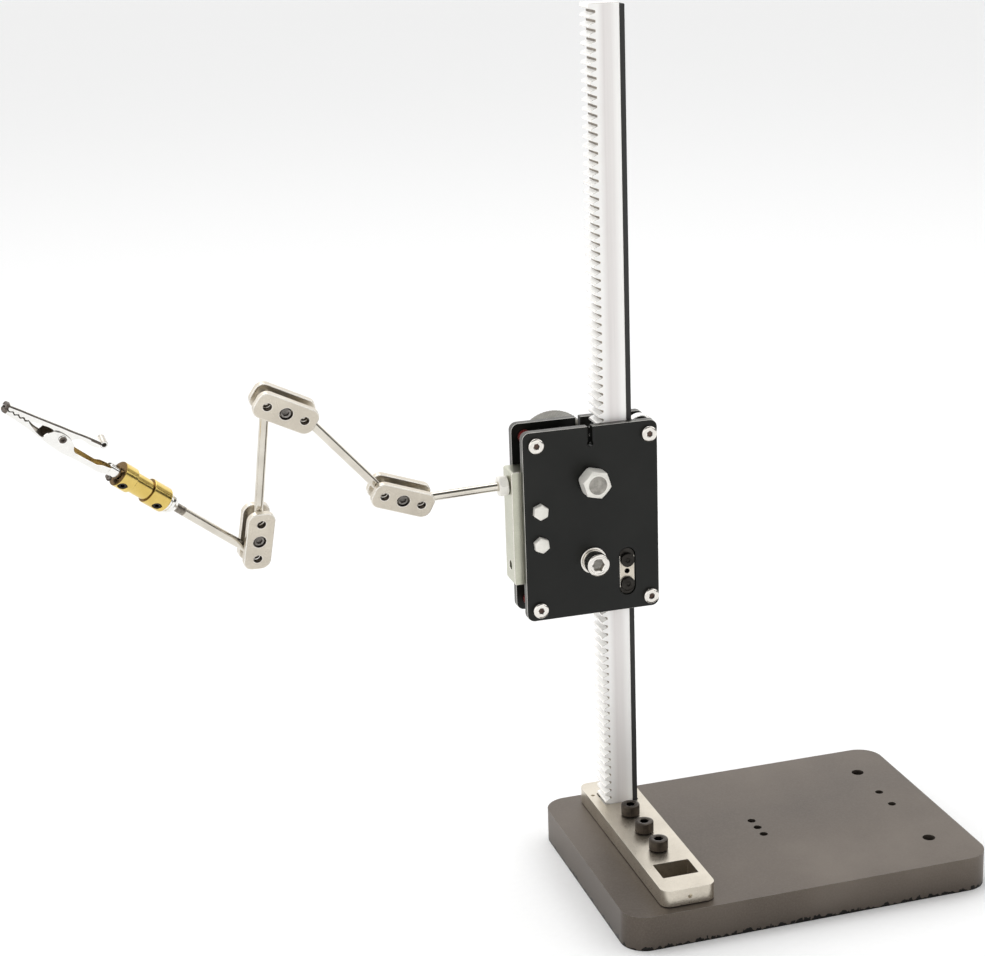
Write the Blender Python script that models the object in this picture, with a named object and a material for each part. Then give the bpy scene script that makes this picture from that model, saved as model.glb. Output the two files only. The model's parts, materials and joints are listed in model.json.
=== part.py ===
"""Rack-and-pinion rigging arm: a steel base, a toothed rack, a geared carriage and a ball-jointed arm.

Row frame: origin at the centre of the base plate's underside, +Z up, +X right, -Y towards the user.
Sizes are in millimetres times MM, so the model is in metres.
"""

import math

import bmesh
import bpy
from mathutils import Matrix, Vector

MM = 0.001
REST_GAP = 0.3 * MM        # between a piece and what it rests on
FIT_GAP = 0.2 * MM         # between a piece and a fixed neighbour at its side
RUN_GAP = 0.08 * MM        # radial clearance of a shaft that turns

# Base plate and foot bar
BASE_SIZE = (140 * MM, 100 * MM, 13 * MM)
BASE_CORNER = 9 * MM
FOOT_X = -46 * MM
FOOT_SIZE = (20 * MM, 92.6 * MM, 6.1 * MM)
FOOT_CORNER = 3.5 * MM
FOOT_WINDOW = (13.35 * MM, 10.6 * MM)
FOOT_WINDOW_X = -45.575 * MM
FOOT_SCREW_Y = (15 * MM, 0.0, -15 * MM)
M3_HOLE_R = 1.7 * MM
M4_HOLE_R = 2.2 * MM
BIG_HOLE_R = 2.35 * MM
SMALL_HOLE_R = 1.55 * MM
BASE_BIG_HOLES = ((54.5 * MM, 30 * MM), (54.5 * MM, -30 * MM))
BASE_SMALL_HOLES = ((54.5 * MM, 11 * MM), (54.5 * MM, 0.0))
BASE_BLIND_HOLES = ((-1 * MM, 5.8 * MM), (-1 * MM, 0.0), (-1 * MM, -5.8 * MM))
BLIND_DEPTH = 9 * MM

# Rack, module 1
MODULE = 1 * MM
PITCH = math.pi * MODULE
FLANK = math.radians(20)
RACK_Y = 31.1 * MM
RACK_WIDTH = 10 * MM
RACK_TIP_X = -51.95 * MM
RACK_BACK_X = -41.1 * MM
RACK_TOP_Z = 313.5 * MM
RACK_LENGTH = 300.2 * MM
FIRST_GROOVE_Z = 310.8 * MM
GROOVES = 95
STRIP_THICK = 1.8 * MM

# Pinions
TEETH = 10
PITCH_R = TEETH * MODULE / 2
GEAR_X = RACK_TIP_X + MODULE - PITCH_R
DRIVE_Z = 149 * MM
IDLER_Z = 118.8 * MM
GEAR_WIDTH = 8 * MM
BACKLASH = 0.06 * MM
ROOT_DEPTH = 1.25 * MODULE
FLANK_STEPS = (-1.15, -0.95, -0.6, -0.2, 0.2, 0.6, 0.9)    # in modules, from the pitch radius
FULL_FLANK = -0.95         # below this the flank runs straight in
AXLE_R = 3 * MM
HEAD_GAP = 0.1 * MM        # between a head, a washer and the plate

# Carriage plates
PLATE_X = (-81.1 * MM, -30.7 * MM)
PLATE_Z = (98.2 * MM, 168.7 * MM)
PLATE_CORNER = 2.8 * MM
PLATE_THICK = 3 * MM
FRONT_Y = 22.8 * MM        # front face of the front plate
REAR_Y = 36.4 * MM         # front face of the rear plate
SPACER_X = -76.3 * MM
SPACER_R = 2.5 * MM
ROLLER_R = 5 * MM
ROLLER_X = RACK_BACK_X + 0.1 * MM + STRIP_THICK + 0.1 * MM + ROLLER_R
CORNER_Z = (102.4 * MM, 163.9 * MM)
SLIT_SIZE = (1.8 * MM, 6.3 * MM)
SLIT_END_R = 1.15 * MM
SLOT_CENTRE = (-42.8 * MM, 112.7 * MM)
SLOT_SIZE = (6.2 * MM, 18.1 * MM)
KNOB_R = 14.3 * MM
KNOB_Y = (57.5 * MM, 69.5 * MM)

# Arm bar
BAR_X = (-84.5 * MM, -71 * MM)
BAR_Z = (111.7 * MM, 153.9 * MM)
BAR_BOLTS = ((-75.4 * MM, 139.6 * MM), (-75.4 * MM, 127.2 * MM))
STUD_Z = 148.05 * MM       # where the stud leaves the bar; it leans down a little from there
STUD_DEPTH = 6.4 * MM
SPARE_HOLE_Z = 118 * MM

# Ball-joint arm. It lies in a plane through the stud's axis, rolled about that axis towards the user;
# past the second rod the plane is rolled again about that rod. Headings are in the plane, from +X.
BALL_R = 2.45 * MM
ROD_R = 1.6 * MM
FIRST_BALL = (-117.1 * MM, 146.95 * MM)
ARM_ROLL = math.radians(17.5)
WRIST_ROLL = math.radians(-6.8)
BALL_SPACING = 14.3 * MM
LINK_HEADING = (math.radians(158.2), math.radians(150.9), math.radians(263.8))
ROD_2 = (math.radians(129.0), 44.5 * MM)
ROD_3 = (math.radians(266.2), 47.1 * MM)
TIP_HEADING = math.radians(136.7)
LINK_SIZE = (22.9 * MM, 9.8 * MM, 2.2 * MM)
LINK_CORNER = 3.4 * MM
LINK_GAP = 4.1 * MM
LINK_HOLE_R = 1.42 * MM
LINK_SCREW_R = 2.0 * MM

# Coupler and clip, as distances along the line of the last rod
COUPLER_START = 42.2 * MM
COUPLER_LENGTH = 20.3 * MM
COUPLER_R = 4.4 * MM
WAIST = (7.6 * MM, 14.8 * MM)
WAIST_R = 3.6 * MM
SET_SCREWS = (3 * MM, 18.1 * MM)
FERRULE_R = 3.8 * MM
CLIP_START = COUPLER_START + COUPLER_LENGTH
CLIP_LENGTH = 47.3 * MM
CLIP_PIVOT = (1.6 * MM, 25.6 * MM)
CURL = (6.7 * MM, 12.4 * MM)       # the middle of the rolled end of the clip's lever
CURL_R = 1.35 * MM

FRONT = Matrix(((1, 0, 0, 0), (0, 0, -1, 0), (0, 1, 0, 0), (0, 0, 0, 1)))


def clear_scene():
    """Removes whatever the file opened with."""
    for item in list(bpy.data.objects):
        bpy.data.objects.remove(item, do_unlink=True)


def material(name, colour, roughness, metallic):
    """A plain Principled material."""
    made = bpy.data.materials.new(name)
    made.use_nodes = True
    shader = made.node_tree.nodes["Principled BSDF"]
    shader.inputs["Base Color"].default_value = (*colour, 1.0)
    shader.inputs["Roughness"].default_value = roughness
    shader.inputs["Metallic"].default_value = metallic
    return made


def make_materials():
    """All the finishes, by name."""
    return {
        "dark_steel": material("dark_steel", (0.10, 0.095, 0.09), 0.45, 0.9),
        "nickel": material("nickel", (0.72, 0.70, 0.66), 0.32, 1.0),
        "bright_steel": material("bright_steel", (0.82, 0.81, 0.79), 0.22, 1.0),
        "black_anodised": material("black_anodised", (0.012, 0.012, 0.013), 0.35, 0.2),
        "black_oxide": material("black_oxide", (0.03, 0.03, 0.03), 0.4, 0.8),
        "red_anodised": material("red_anodised", (0.30, 0.03, 0.025), 0.35, 0.9),
        "knob_steel": material("knob_steel", (0.28, 0.28, 0.27), 0.4, 0.9),
        "brass": material("brass", (0.85, 0.62, 0.22), 0.22, 1.0),
        "chrome": material("chrome", (0.88, 0.87, 0.85), 0.12, 1.0),
        "rubber": material("rubber", (0.02, 0.02, 0.02), 0.7, 0.0),
    }


def at(x, y, z):
    """A frame at a point, with the world's axes."""
    return Matrix.Translation((x, y, z))


def facing(x, y, z, direction, side=(0, 0, 1)):
    """A frame at a point whose local Z runs along direction and local X lies towards side."""
    axis = Vector(direction).normalized()
    across = Vector(side) - axis * Vector(side).dot(axis)
    if across.length < 1e-6:
        across = axis.orthogonal()
    across.normalize()
    up = axis.cross(across)
    turn = Matrix((across, up, axis)).transposed().to_4x4()
    return Matrix.Translation((x, y, z)) @ turn


def circle(radius, count, centre=(0.0, 0.0), start=0.0):
    """Points round a circle, anticlockwise."""
    points = []
    for index in range(count):
        angle = start + 2 * math.pi * index / count
        points.append((centre[0] + radius * math.cos(angle), centre[1] + radius * math.sin(angle)))
    return points


def hexagon(across_flats, start=0.0):
    """A hexagon by its width across flats."""
    return circle(across_flats / 2 / math.cos(math.pi / 6), 6, start=start)


def rounded_rect(low, high, radius, steps=5):
    """A rectangle with round corners, anticlockwise."""
    points = []
    corners = ((high[0], high[1], 0), (low[0], high[1], 1), (low[0], low[1], 2), (high[0], low[1], 3))
    for x, y, quarter in corners:
        cx = x - radius if quarter in (0, 3) else x + radius
        cy = y - radius if quarter in (0, 1) else y + radius
        for step in range(steps + 1):
            angle = math.pi / 2 * (quarter + step / steps)
            points.append((cx + radius * math.cos(angle), cy + radius * math.sin(angle)))
    return points


def stadium(width, height, centre=(0.0, 0.0), steps=8):
    """An upright slot outline with round ends."""
    radius = width / 2
    points = []
    for end, start in ((1, 0.0), (-1, math.pi)):
        cy = centre[1] + end * (height / 2 - radius)
        for step in range(steps + 1):
            angle = start + math.pi * step / steps
            points.append((centre[0] + radius * math.cos(angle), cy + radius * math.sin(angle)))
    return points


def prism_mesh(outer, holes, low, high):
    """An outline with holes, extruded along local Z from low to high."""
    mesh = bmesh.new()
    if holes:
        edges = []
        for loop in (outer, *holes):
            ring = [mesh.verts.new((x, y, low)) for x, y in loop]
            for index, vert in enumerate(ring):
                edges.append(mesh.edges.new((vert, ring[(index + 1) % len(ring)])))
        bmesh.ops.triangle_fill(mesh, use_beauty=True, use_dissolve=False, edges=edges)
    else:
        mesh.faces.new([mesh.verts.new((x, y, low)) for x, y in outer])
    base = list(mesh.faces)
    made = bmesh.ops.extrude_face_region(mesh, geom=base)
    top = [item for item in made["geom"] if isinstance(item, bmesh.types.BMVert)]
    bmesh.ops.translate(mesh, verts=top, vec=(0, 0, high - low))
    bmesh.ops.recalc_face_normals(mesh, faces=mesh.faces)
    return mesh


def turned_mesh(profile, segments):
    """A profile of (radius, z) points turned about local Z. A radius of zero at an end closes the solid
    there; a profile that never meets the axis is joined end to end as a ring."""
    mesh = bmesh.new()
    rings = []
    for radius, z in profile:
        if radius < 1e-9:
            rings.append([mesh.verts.new((0, 0, z))])
        else:
            rings.append([mesh.verts.new((x, y, z)) for x, y in circle(radius, segments)])
    pairs = list(zip(rings, rings[1:]))
    if len(rings[0]) > 1 and len(rings[-1]) > 1:
        pairs.append((rings[-1], rings[0]))
    for first, second in pairs:
        for index in range(segments):
            following = (index + 1) % segments
            quad = [first[index % len(first)], first[following % len(first)]]
            quad += [second[following % len(second)], second[index % len(second)]]
            corners = list(dict.fromkeys(quad))
            if len(corners) > 2:
                mesh.faces.new(corners)
    bmesh.ops.recalc_face_normals(mesh, faces=mesh.faces)
    return mesh


def add(name, mesh, finish, frame, pivot=None, smooth=True):
    """Makes an object from a bmesh, with its finish, its place and its pivot."""
    data = bpy.data.meshes.new(name)
    mesh.to_mesh(data)
    mesh.free()
    if smooth:
        data.shade_smooth()
        data.set_sharp_from_angle(angle=math.radians(35))
    if finish is not None:
        data.materials.append(finish)
    made = bpy.data.objects.new(name, data)
    bpy.context.scene.collection.objects.link(made)
    made.matrix_basis = frame
    attach(made, pivot)
    return made


def attach(item, pivot):
    """Parents an object to a pivot and leaves it where it is."""
    if pivot is not None:
        item.parent = pivot
        item.matrix_parent_inverse = pivot.matrix_basis.inverted()


def make_pivot(name, point, parent=None):
    """An empty on a joint's axis."""
    empty = bpy.data.objects.new(name, None)
    empty.empty_display_size = 5 * MM
    bpy.context.scene.collection.objects.link(empty)
    empty.matrix_basis = Matrix.Translation(point)
    attach(empty, parent)
    return empty


def cut(target, mesh, frame, pivot=None):
    """Cuts a shape out of an object with a Boolean."""
    combine(target, mesh, frame, pivot, "cut", "DIFFERENCE")


def unite(target, mesh, frame, pivot=None):
    """Joins a shape to an object with a Boolean."""
    combine(target, mesh, frame, pivot, "join", "UNION")


def combine(target, mesh, frame, pivot, label, operation):
    """Adds a Boolean to target, with a hidden helper for its other shape."""
    helper = add(f"{label}_{target.name}_{len(target.modifiers)}", mesh, None, frame, pivot, smooth=False)
    helper.hide_render = True
    helper.display_type = "WIRE"
    boolean = target.modifiers.new(label, "BOOLEAN")
    boolean.operation = operation
    boolean.solver = "EXACT"
    boolean.object = helper


def screw(name, frame, pivot, finish, head, shank, socket):
    """A round-headed screw with a hex socket: head and shank are (radius, length), and the frame's Z
    points out of the head."""
    head_r, head_h = head
    shank_r, shank_l = shank
    edge = 0.35 * MM
    profile = [(0, -shank_l), (shank_r, -shank_l), (shank_r, 0), (head_r, 0)]
    profile += [(head_r, head_h - edge), (head_r - edge, head_h), (0, head_h)]
    made = add(name, turned_mesh(profile, 12), finish, frame, pivot)
    depth = head_h * 0.6
    cut(made, prism_mesh(hexagon(socket), (), head_h - depth, head_h + 1 * MM), frame, pivot)
    return made


# ---------------------------------------------------------------- base, foot and rack

def make_base(finish):
    """The heavy base plate, with its tapped holes."""
    half_x, half_y = BASE_SIZE[0] / 2, BASE_SIZE[1] / 2
    holes = [circle(BIG_HOLE_R, 16, centre) for centre in BASE_BIG_HOLES]
    holes += [circle(SMALL_HOLE_R, 12, centre) for centre in BASE_SMALL_HOLES]
    holes += [circle(M4_HOLE_R, 12, (FOOT_X, y)) for y in FOOT_SCREW_Y]
    outline = rounded_rect((-half_x, -half_y), (half_x, half_y), BASE_CORNER, 6)
    base = add("base_plate", prism_mesh(outline, holes, 0, BASE_SIZE[2]), finish["dark_steel"], at(0, 0, 0))
    for x, y in BASE_BLIND_HOLES:
        drill = prism_mesh(circle(SMALL_HOLE_R, 12), (), BASE_SIZE[2] - BLIND_DEPTH, BASE_SIZE[2] + 1 * MM)
        cut(base, drill, at(x, y, 0))


def make_foot(finish):
    """The bar that clamps the rack to the base, and its three screws."""
    low_z = BASE_SIZE[2] + REST_GAP
    half_x, half_y = FOOT_SIZE[0] / 2, FOOT_SIZE[1] / 2
    outline = rounded_rect((FOOT_X - half_x, -half_y), (FOOT_X + half_x, half_y), FOOT_CORNER)
    wide, deep = FOOT_WINDOW[0] / 2, FOOT_WINDOW[1] / 2
    holes = [circle(M4_HOLE_R, 12, (FOOT_X, y)) for y in FOOT_SCREW_Y]
    for y in (RACK_Y, -RACK_Y):
        low, high = (FOOT_WINDOW_X - wide, y - deep), (FOOT_WINDOW_X + wide, y + deep)
        holes.append(rounded_rect(low, high, 0.2 * MM, 1))
    add("foot_bar", prism_mesh(outline, holes, low_z, low_z + FOOT_SIZE[2]), finish["nickel"], at(0, 0, 0))
    top = low_z + FOOT_SIZE[2] + REST_GAP
    for index, y in enumerate(FOOT_SCREW_Y):
        frame = at(FOOT_X, y, top)
        screw(f"foot_screw_{index + 1}", frame, None, finish["black_oxide"], (3.5 * MM, 4 * MM),
              (1.95 * MM, 15 * MM), 3 * MM)


def rack_outline():
    """The rack's side view, as (x, z): a straight back and trapezoid teeth on the left."""
    tip_half = (PITCH / 2 + 2 * MODULE * math.tan(FLANK)) / 2
    root_half = (PITCH / 2 - 2 * ROOT_DEPTH * math.tan(FLANK)) / 2
    root_x = RACK_TIP_X + MODULE + ROOT_DEPTH
    bottom = RACK_TOP_Z - RACK_LENGTH
    points = [(RACK_BACK_X, RACK_TOP_Z), (RACK_TIP_X, RACK_TOP_Z)]
    for index in range(GROOVES):
        z = FIRST_GROOVE_Z - index * PITCH
        if z - tip_half < bottom + 0.2 * MM:
            break
        points += [(RACK_TIP_X, z + tip_half), (root_x, z + root_half)]
        points += [(root_x, z - root_half), (RACK_TIP_X, z - tip_half)]
    points += [(RACK_TIP_X, bottom), (RACK_BACK_X, bottom)]
    return points


def make_rack(finish):
    """The toothed rack and the strip on its back that the rollers run on."""
    low, high = -(RACK_Y + RACK_WIDTH / 2), -(RACK_Y - RACK_WIDTH / 2)
    add("rack", prism_mesh(rack_outline(), (), low, high), finish["bright_steel"], FRONT, smooth=False)
    left = RACK_BACK_X + 0.1 * MM
    bottom = RACK_TOP_Z - RACK_LENGTH
    strip = rounded_rect((left, bottom), (left + STRIP_THICK, RACK_TOP_Z - 0.5 * MM), 0.2 * MM, 1)
    add("rack_strip", prism_mesh(strip, (), low + 0.1 * MM, high - 0.1 * MM), finish["rubber"], FRONT)


# ---------------------------------------------------------------- pinions

def tooth_half_angle(radius):
    """Half the angle of a tooth at a radius, as the rack's straight flanks cut it while it rolls."""
    best = math.pi / TEETH
    for step in range(-300, 301):
        turn = step * 0.004
        depth = radius * math.cos(turn)
        if depth >= PITCH_R - MODULE:
            groove = PITCH / 4 - (depth - PITCH_R) * math.tan(FLANK)
            best = min(best, (groove - radius * math.sin(turn) + PITCH_R * turn) / PITCH_R)
    return best - BACKLASH / radius


def gear_outline(phase):
    """The outline of a pinion, with one tooth's middle at the angle phase."""
    radii = [PITCH_R + step * MODULE for step in FLANK_STEPS]
    halves = [tooth_half_angle(max(radius, PITCH_R + FULL_FLANK * MODULE)) for radius in radii]
    points = []
    for tooth in range(TEETH):
        middle = phase + 2 * math.pi * tooth / TEETH
        flank = list(zip(radii, halves))
        for radius, half in flank:
            points.append((radius * math.cos(middle - half), radius * math.sin(middle - half)))
        for radius, half in reversed(flank):
            points.append((radius * math.cos(middle + half), radius * math.sin(middle + half)))
    return points


def mesh_phase(centre_z):
    """The turn that puts a tooth of a pinion at this height into the nearest groove of the rack."""
    grooves = round((FIRST_GROOVE_Z - centre_z) / PITCH)
    return (FIRST_GROOVE_Z - grooves * PITCH - centre_z) / PITCH_R


def make_gear(name, centre_z, finish, pivot):
    """A pinion on its axle, in mesh with the rack."""
    middle = -RACK_Y
    bore = circle(AXLE_R + RUN_GAP, 24)
    low, high = middle - GEAR_WIDTH / 2, middle + GEAR_WIDTH / 2
    shape = prism_mesh(gear_outline(mesh_phase(centre_z)), (bore,), low, high)
    add(name, shape, finish["nickel"], at(GEAR_X, 0, centre_z) @ FRONT, pivot, smooth=False)


def make_drive(finish, carriage):
    """The upper axle: a hex-headed bolt through both plates, its washer, its pinion and the knob."""
    pivot = make_pivot("pivot_drive", (GEAR_X, RACK_Y, DRIVE_Z), carriage)
    frame = at(GEAR_X, 0, DRIVE_Z) @ FRONT
    head_back, head_front = -FRONT_Y + 1.2 * MM, -FRONT_Y + 8 * MM
    back = -(KNOB_Y[1] - 1 * MM)
    neck = head_back + 1 * MM
    shank = turned_mesh([(0, back), (AXLE_R, back), (AXLE_R, neck), (0, neck)], 24)
    bolt = add("drive_bolt", shank, finish["bright_steel"], frame, pivot)
    unite(bolt, prism_mesh(hexagon(9.3 * MM, 0.3), (), head_back, head_front), frame, pivot)
    make_washer("drive_washer", 4.6 * MM, finish["nickel"], frame, pivot)
    make_gear("drive_gear", DRIVE_Z, finish, pivot)
    bore, hub = AXLE_R + RUN_GAP, 6 * MM
    rear = -(REAR_Y + PLATE_THICK + 0.3 * MM)
    knob = [(bore, rear), (hub, rear), (hub, -KNOB_Y[0]), (KNOB_R - 0.8 * MM, -KNOB_Y[0])]
    knob += [(KNOB_R, -KNOB_Y[0] - 0.8 * MM), (KNOB_R, -KNOB_Y[1] + 0.8 * MM)]
    knob += [(KNOB_R - 0.8 * MM, -KNOB_Y[1]), (bore, -KNOB_Y[1])]
    add("drive_knob", turned_mesh(knob, 24), finish["knob_steel"], frame, pivot)


def make_washer(name, radius, finish, frame, pivot):
    """A washer between the front plate and the head of an axle."""
    bore, base = AXLE_R + RUN_GAP, -FRONT_Y + HEAD_GAP
    top = base + 1 * MM
    profile = [(bore, base), (radius, base), (radius, top), (bore, top)]
    add(name, turned_mesh(profile, 24), finish, frame, pivot)


def make_idler(finish, carriage):
    """The lower axle: a socket-headed screw with its washer in front, its pinion and a nut behind."""
    pivot = make_pivot("pivot_idler", (GEAR_X, RACK_Y, IDLER_Z), carriage)
    frame = at(GEAR_X, 0, IDLER_Z) @ FRONT
    base, front = -FRONT_Y + 1 * MM + 2 * HEAD_GAP, -FRONT_Y + 6.9 * MM
    rear = -(REAR_Y + PLATE_THICK + 0.3 * MM)
    head_r, soft, nut_high = 4.2 * MM, 0.4 * MM, 4.4 * MM
    profile = [(0, rear - nut_high - 1 * MM), (AXLE_R, rear - nut_high - 1 * MM), (AXLE_R, base), (head_r, base)]
    profile += [(head_r, front - soft), (head_r - soft, front), (0, front)]
    axle = add("idler_axle", turned_mesh(profile, 24), finish["bright_steel"], frame, pivot)
    cut(axle, prism_mesh(hexagon(4 * MM), (), front - 2.6 * MM, front + 1 * MM), frame, pivot)
    make_washer("idler_washer", 4.9 * MM, finish["bright_steel"], frame, pivot)
    nut = prism_mesh(hexagon(9.8 * MM, 0.5), (circle(AXLE_R + RUN_GAP, 24),), rear - nut_high, rear)
    add("idler_nut", nut, finish["bright_steel"], frame, pivot)
    make_gear("idler_gear", IDLER_Z, finish, pivot)


# ---------------------------------------------------------------- carriage

def plate_outline():
    """A carriage plate's outline, with a keyhole slit in the middle of its top edge."""
    points = rounded_rect((PLATE_X[0], PLATE_Z[0]), (PLATE_X[1], PLATE_Z[1]), PLATE_CORNER)
    half, depth = SLIT_SIZE[0] / 2, SLIT_SIZE[1]
    bottom = PLATE_Z[1] - depth
    slit = [(GEAR_X + half, PLATE_Z[1])]
    start = math.asin(half / SLIT_END_R)
    for step in range(9):
        angle = math.pi / 2 - start - step * (2 * math.pi - 2 * start) / 8
        slit.append((GEAR_X + SLIT_END_R * math.cos(angle), bottom + SLIT_END_R * math.sin(angle)))
    slit.append((GEAR_X - half, PLATE_Z[1]))
    after_first_corner = 6
    return points[:after_first_corner] + slit + points[after_first_corner:]


def corner_points():
    """The four corner screws' places, as (x, z)."""
    return [(x, z) for x in (SPACER_X, ROLLER_X) for z in CORNER_Z]


def make_plates(finish, carriage):
    """The front and rear plates."""
    shared = [circle(M3_HOLE_R, 12, point) for point in corner_points()]
    shared += [circle(AXLE_R + RUN_GAP, 24, (GEAR_X, z)) for z in (DRIVE_Z, IDLER_Z)]
    bolts = [circle(M3_HOLE_R, 12, point) for point in BAR_BOLTS]
    slot = stadium(*SLOT_SIZE, SLOT_CENTRE)
    front = prism_mesh(plate_outline(), shared + bolts + [slot], -(FRONT_Y + PLATE_THICK), -FRONT_Y)
    add("front_plate", front, finish["black_anodised"], FRONT, carriage)
    rear = prism_mesh(plate_outline(), shared, -(REAR_Y + PLATE_THICK), -REAR_Y)
    add("rear_plate", rear, finish["black_anodised"], FRONT, carriage)


def make_rollers(finish, carriage):
    """Ball bearings that run on the rack's back strip: a turning outer ring on a shouldered inner ring."""
    for name, z in (("lower", CORNER_Z[0]), ("upper", CORNER_Z[1])):
        frame = at(ROLLER_X, RACK_Y, z) @ FRONT
        pivot = make_pivot(f"pivot_{name}_roller", (ROLLER_X, RACK_Y, z), carriage)
        half, inner = 2 * MM, 3.5 * MM
        outer_ring = [(inner, -half), (ROLLER_R, -half), (ROLLER_R, half), (inner, half)]
        add(f"{name}_roller_ring", turned_mesh(outer_ring, 24), finish["chrome"], frame, pivot)
        bore, race, shoulder = 1.7 * MM, inner - 0.09 * MM, 2.75 * MM
        reach = (REAR_Y - FRONT_Y - PLATE_THICK) / 2 - FIT_GAP
        core = [(bore, -reach), (shoulder, -reach), (shoulder, -half), (race, -half), (race, half)]
        core += [(shoulder, half), (shoulder, reach), (bore, reach)]
        add(f"{name}_roller_core", turned_mesh(core, 20), finish["nickel"], frame, carriage)


def make_corners(finish, carriage):
    """The two red spacers and the four corner screws, which thread into the rear plate."""
    low, high = -(REAR_Y - FIT_GAP), -(FRONT_Y + PLATE_THICK + FIT_GAP)
    for name, z in (("lower", CORNER_Z[0]), ("upper", CORNER_Z[1])):
        tube = [(M3_HOLE_R, low), (SPACER_R, low), (SPACER_R, high), (M3_HOLE_R, high)]
        frame = at(SPACER_X, 0, z) @ FRONT
        add(f"{name}_spacer", turned_mesh(tube, 24), finish["red_anodised"], frame, carriage)
    for index, (x, z) in enumerate(corner_points()):
        frame = at(x, FRONT_Y - 0.1 * MM, z) @ FRONT
        length = REAR_Y + PLATE_THICK - FRONT_Y
        screw(f"corner_screw_{index + 1}", frame, carriage, finish["bright_steel"], (2.85 * MM, 1.8 * MM),
              (1.5 * MM, length), 2 * MM)


def make_bar(finish, carriage):
    """The arm bar between the plates, its two hex bolts, the arm stud and the stud's lock nut."""
    low, high = -(REAR_Y - FIT_GAP), -(FRONT_Y + PLATE_THICK + FIT_GAP)
    outline = rounded_rect((BAR_X[0], BAR_Z[0]), (BAR_X[1], BAR_Z[1]), 0.8 * MM, 3)
    holes = [circle(M3_HOLE_R, 12, point) for point in BAR_BOLTS]
    bar = add("arm_bar", prism_mesh(outline, holes, low, high), finish["nickel"], FRONT, carriage)
    for z, lean in ((STUD_Z, stud_axis()), (SPARE_HOLE_Z, Vector((1, 0, 0)))):
        frame = facing(BAR_X[0], RACK_Y, z, -lean)
        cut(bar, prism_mesh(circle(ROD_R + 0.1 * MM, 16), (), -7 * MM, 2 * MM), frame, carriage)
    for index, (x, z) in enumerate(BAR_BOLTS):
        frame = at(x, FRONT_Y - 0.1 * MM, z) @ FRONT
        bolt = prism_mesh(hexagon(5 * MM, 0.25), (), 0, 2.4 * MM)
        head = add(f"bar_bolt_{index + 1}", bolt, finish["bright_steel"], frame, carriage)
        shank = turned_mesh([(0, -12 * MM), (1.5 * MM, -12 * MM), (1.5 * MM, 1 * MM), (0, 1 * MM)], 12)
        unite(head, shank, frame, carriage)


def make_brake(finish, carriage):
    """The friction shoe in the front plate's slot, and its two small screws."""
    x, z = SLOT_CENTRE
    width, height = SLOT_SIZE[0] - 2 * FIT_GAP, SLOT_SIZE[1] - 2 * FIT_GAP
    spots = (4.4 * MM, -4.7 * MM)
    holes = [circle(M3_HOLE_R, 12, (x, z + offset)) for offset in spots]
    holes.append(circle(0.8 * MM, 12, (x, z)))
    low, high = -(FRONT_Y + PLATE_THICK + 0.1 * MM), -(FRONT_Y + 0.4 * MM)
    shape = prism_mesh(stadium(width, height, (x, z)), holes, low, high)
    add("friction_shoe", shape, finish["nickel"], FRONT, carriage)
    for index, offset in enumerate(spots):
        frame = at(x, FRONT_Y + 0.3 * MM, z + offset) @ FRONT
        screw(f"shoe_screw_{index + 1}", frame, carriage, finish["black_oxide"], (2.6 * MM, 1.3 * MM),
              (1.5 * MM, 2.6 * MM), 2 * MM)


# ---------------------------------------------------------------- arm

def ball_profile(radius, low_angle, high_angle, steps=7):
    """A ball's outline from one angle to another, measured from the -Z pole."""
    points = []
    for step in range(steps + 1):
        angle = low_angle + (high_angle - low_angle) * step / steps
        points.append((radius * math.sin(angle), -radius * math.cos(angle)))
    points[0] = (points[0][0] if low_angle > 0 else 0.0, points[0][1])
    return points


def plane_axes():
    """The arm plane's axes before and after the wrist roll, each as (along, up, front)."""
    along = Vector((1, 0, 0))
    up = Vector((0, -math.sin(ARM_ROLL), math.cos(ARM_ROLL)))
    first = (along, up, along.cross(up))
    turn = Matrix.Rotation(WRIST_ROLL, 3, heading(first, ROD_3[0]))
    return first, tuple(turn @ axis for axis in first)


def heading(axes, angle):
    """A direction in the arm's plane."""
    return axes[0] * math.cos(angle) + axes[1] * math.sin(angle)


def stud_axis():
    """The direction of the stud, from the first ball into the arm bar."""
    return Vector((BAR_X[0] - FIRST_BALL[0], 0, STUD_Z - FIRST_BALL[1])).normalized()


def ball_centres():
    """The six balls' centres, from the carriage to the tip."""
    upper, wrist = plane_axes()
    steps = (
        heading(upper, LINK_HEADING[0]) * BALL_SPACING,
        heading(upper, ROD_2[0]) * ROD_2[1],
        heading(upper, LINK_HEADING[1]) * BALL_SPACING,
        heading(upper, ROD_3[0]) * ROD_3[1],
        heading(wrist, LINK_HEADING[2]) * BALL_SPACING,
    )
    points = [Vector((FIRST_BALL[0], RACK_Y, FIRST_BALL[1]))]
    for step in steps:
        points.append(points[-1] + step)
    return points


def rod_frame(start, end):
    """A frame at start whose Z runs towards end."""
    return facing(*start, end - start, (0, -1, 0))


def make_loose_ball(name, centre, rod_direction, finish, pivot):
    """A ball with a blind bore on the end of a rod, so that it can turn about the rod."""
    bore = ROD_R + 0.1 * MM
    mouth = math.pi - math.asin(bore / BALL_R)
    profile = ball_profile(BALL_R, 0.0, mouth) + [(bore, -0.9 * MM), (0, -0.9 * MM)]
    add(name, turned_mesh(profile, 12), finish["nickel"], facing(*centre, rod_direction, (0, -1, 0)), pivot)


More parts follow.
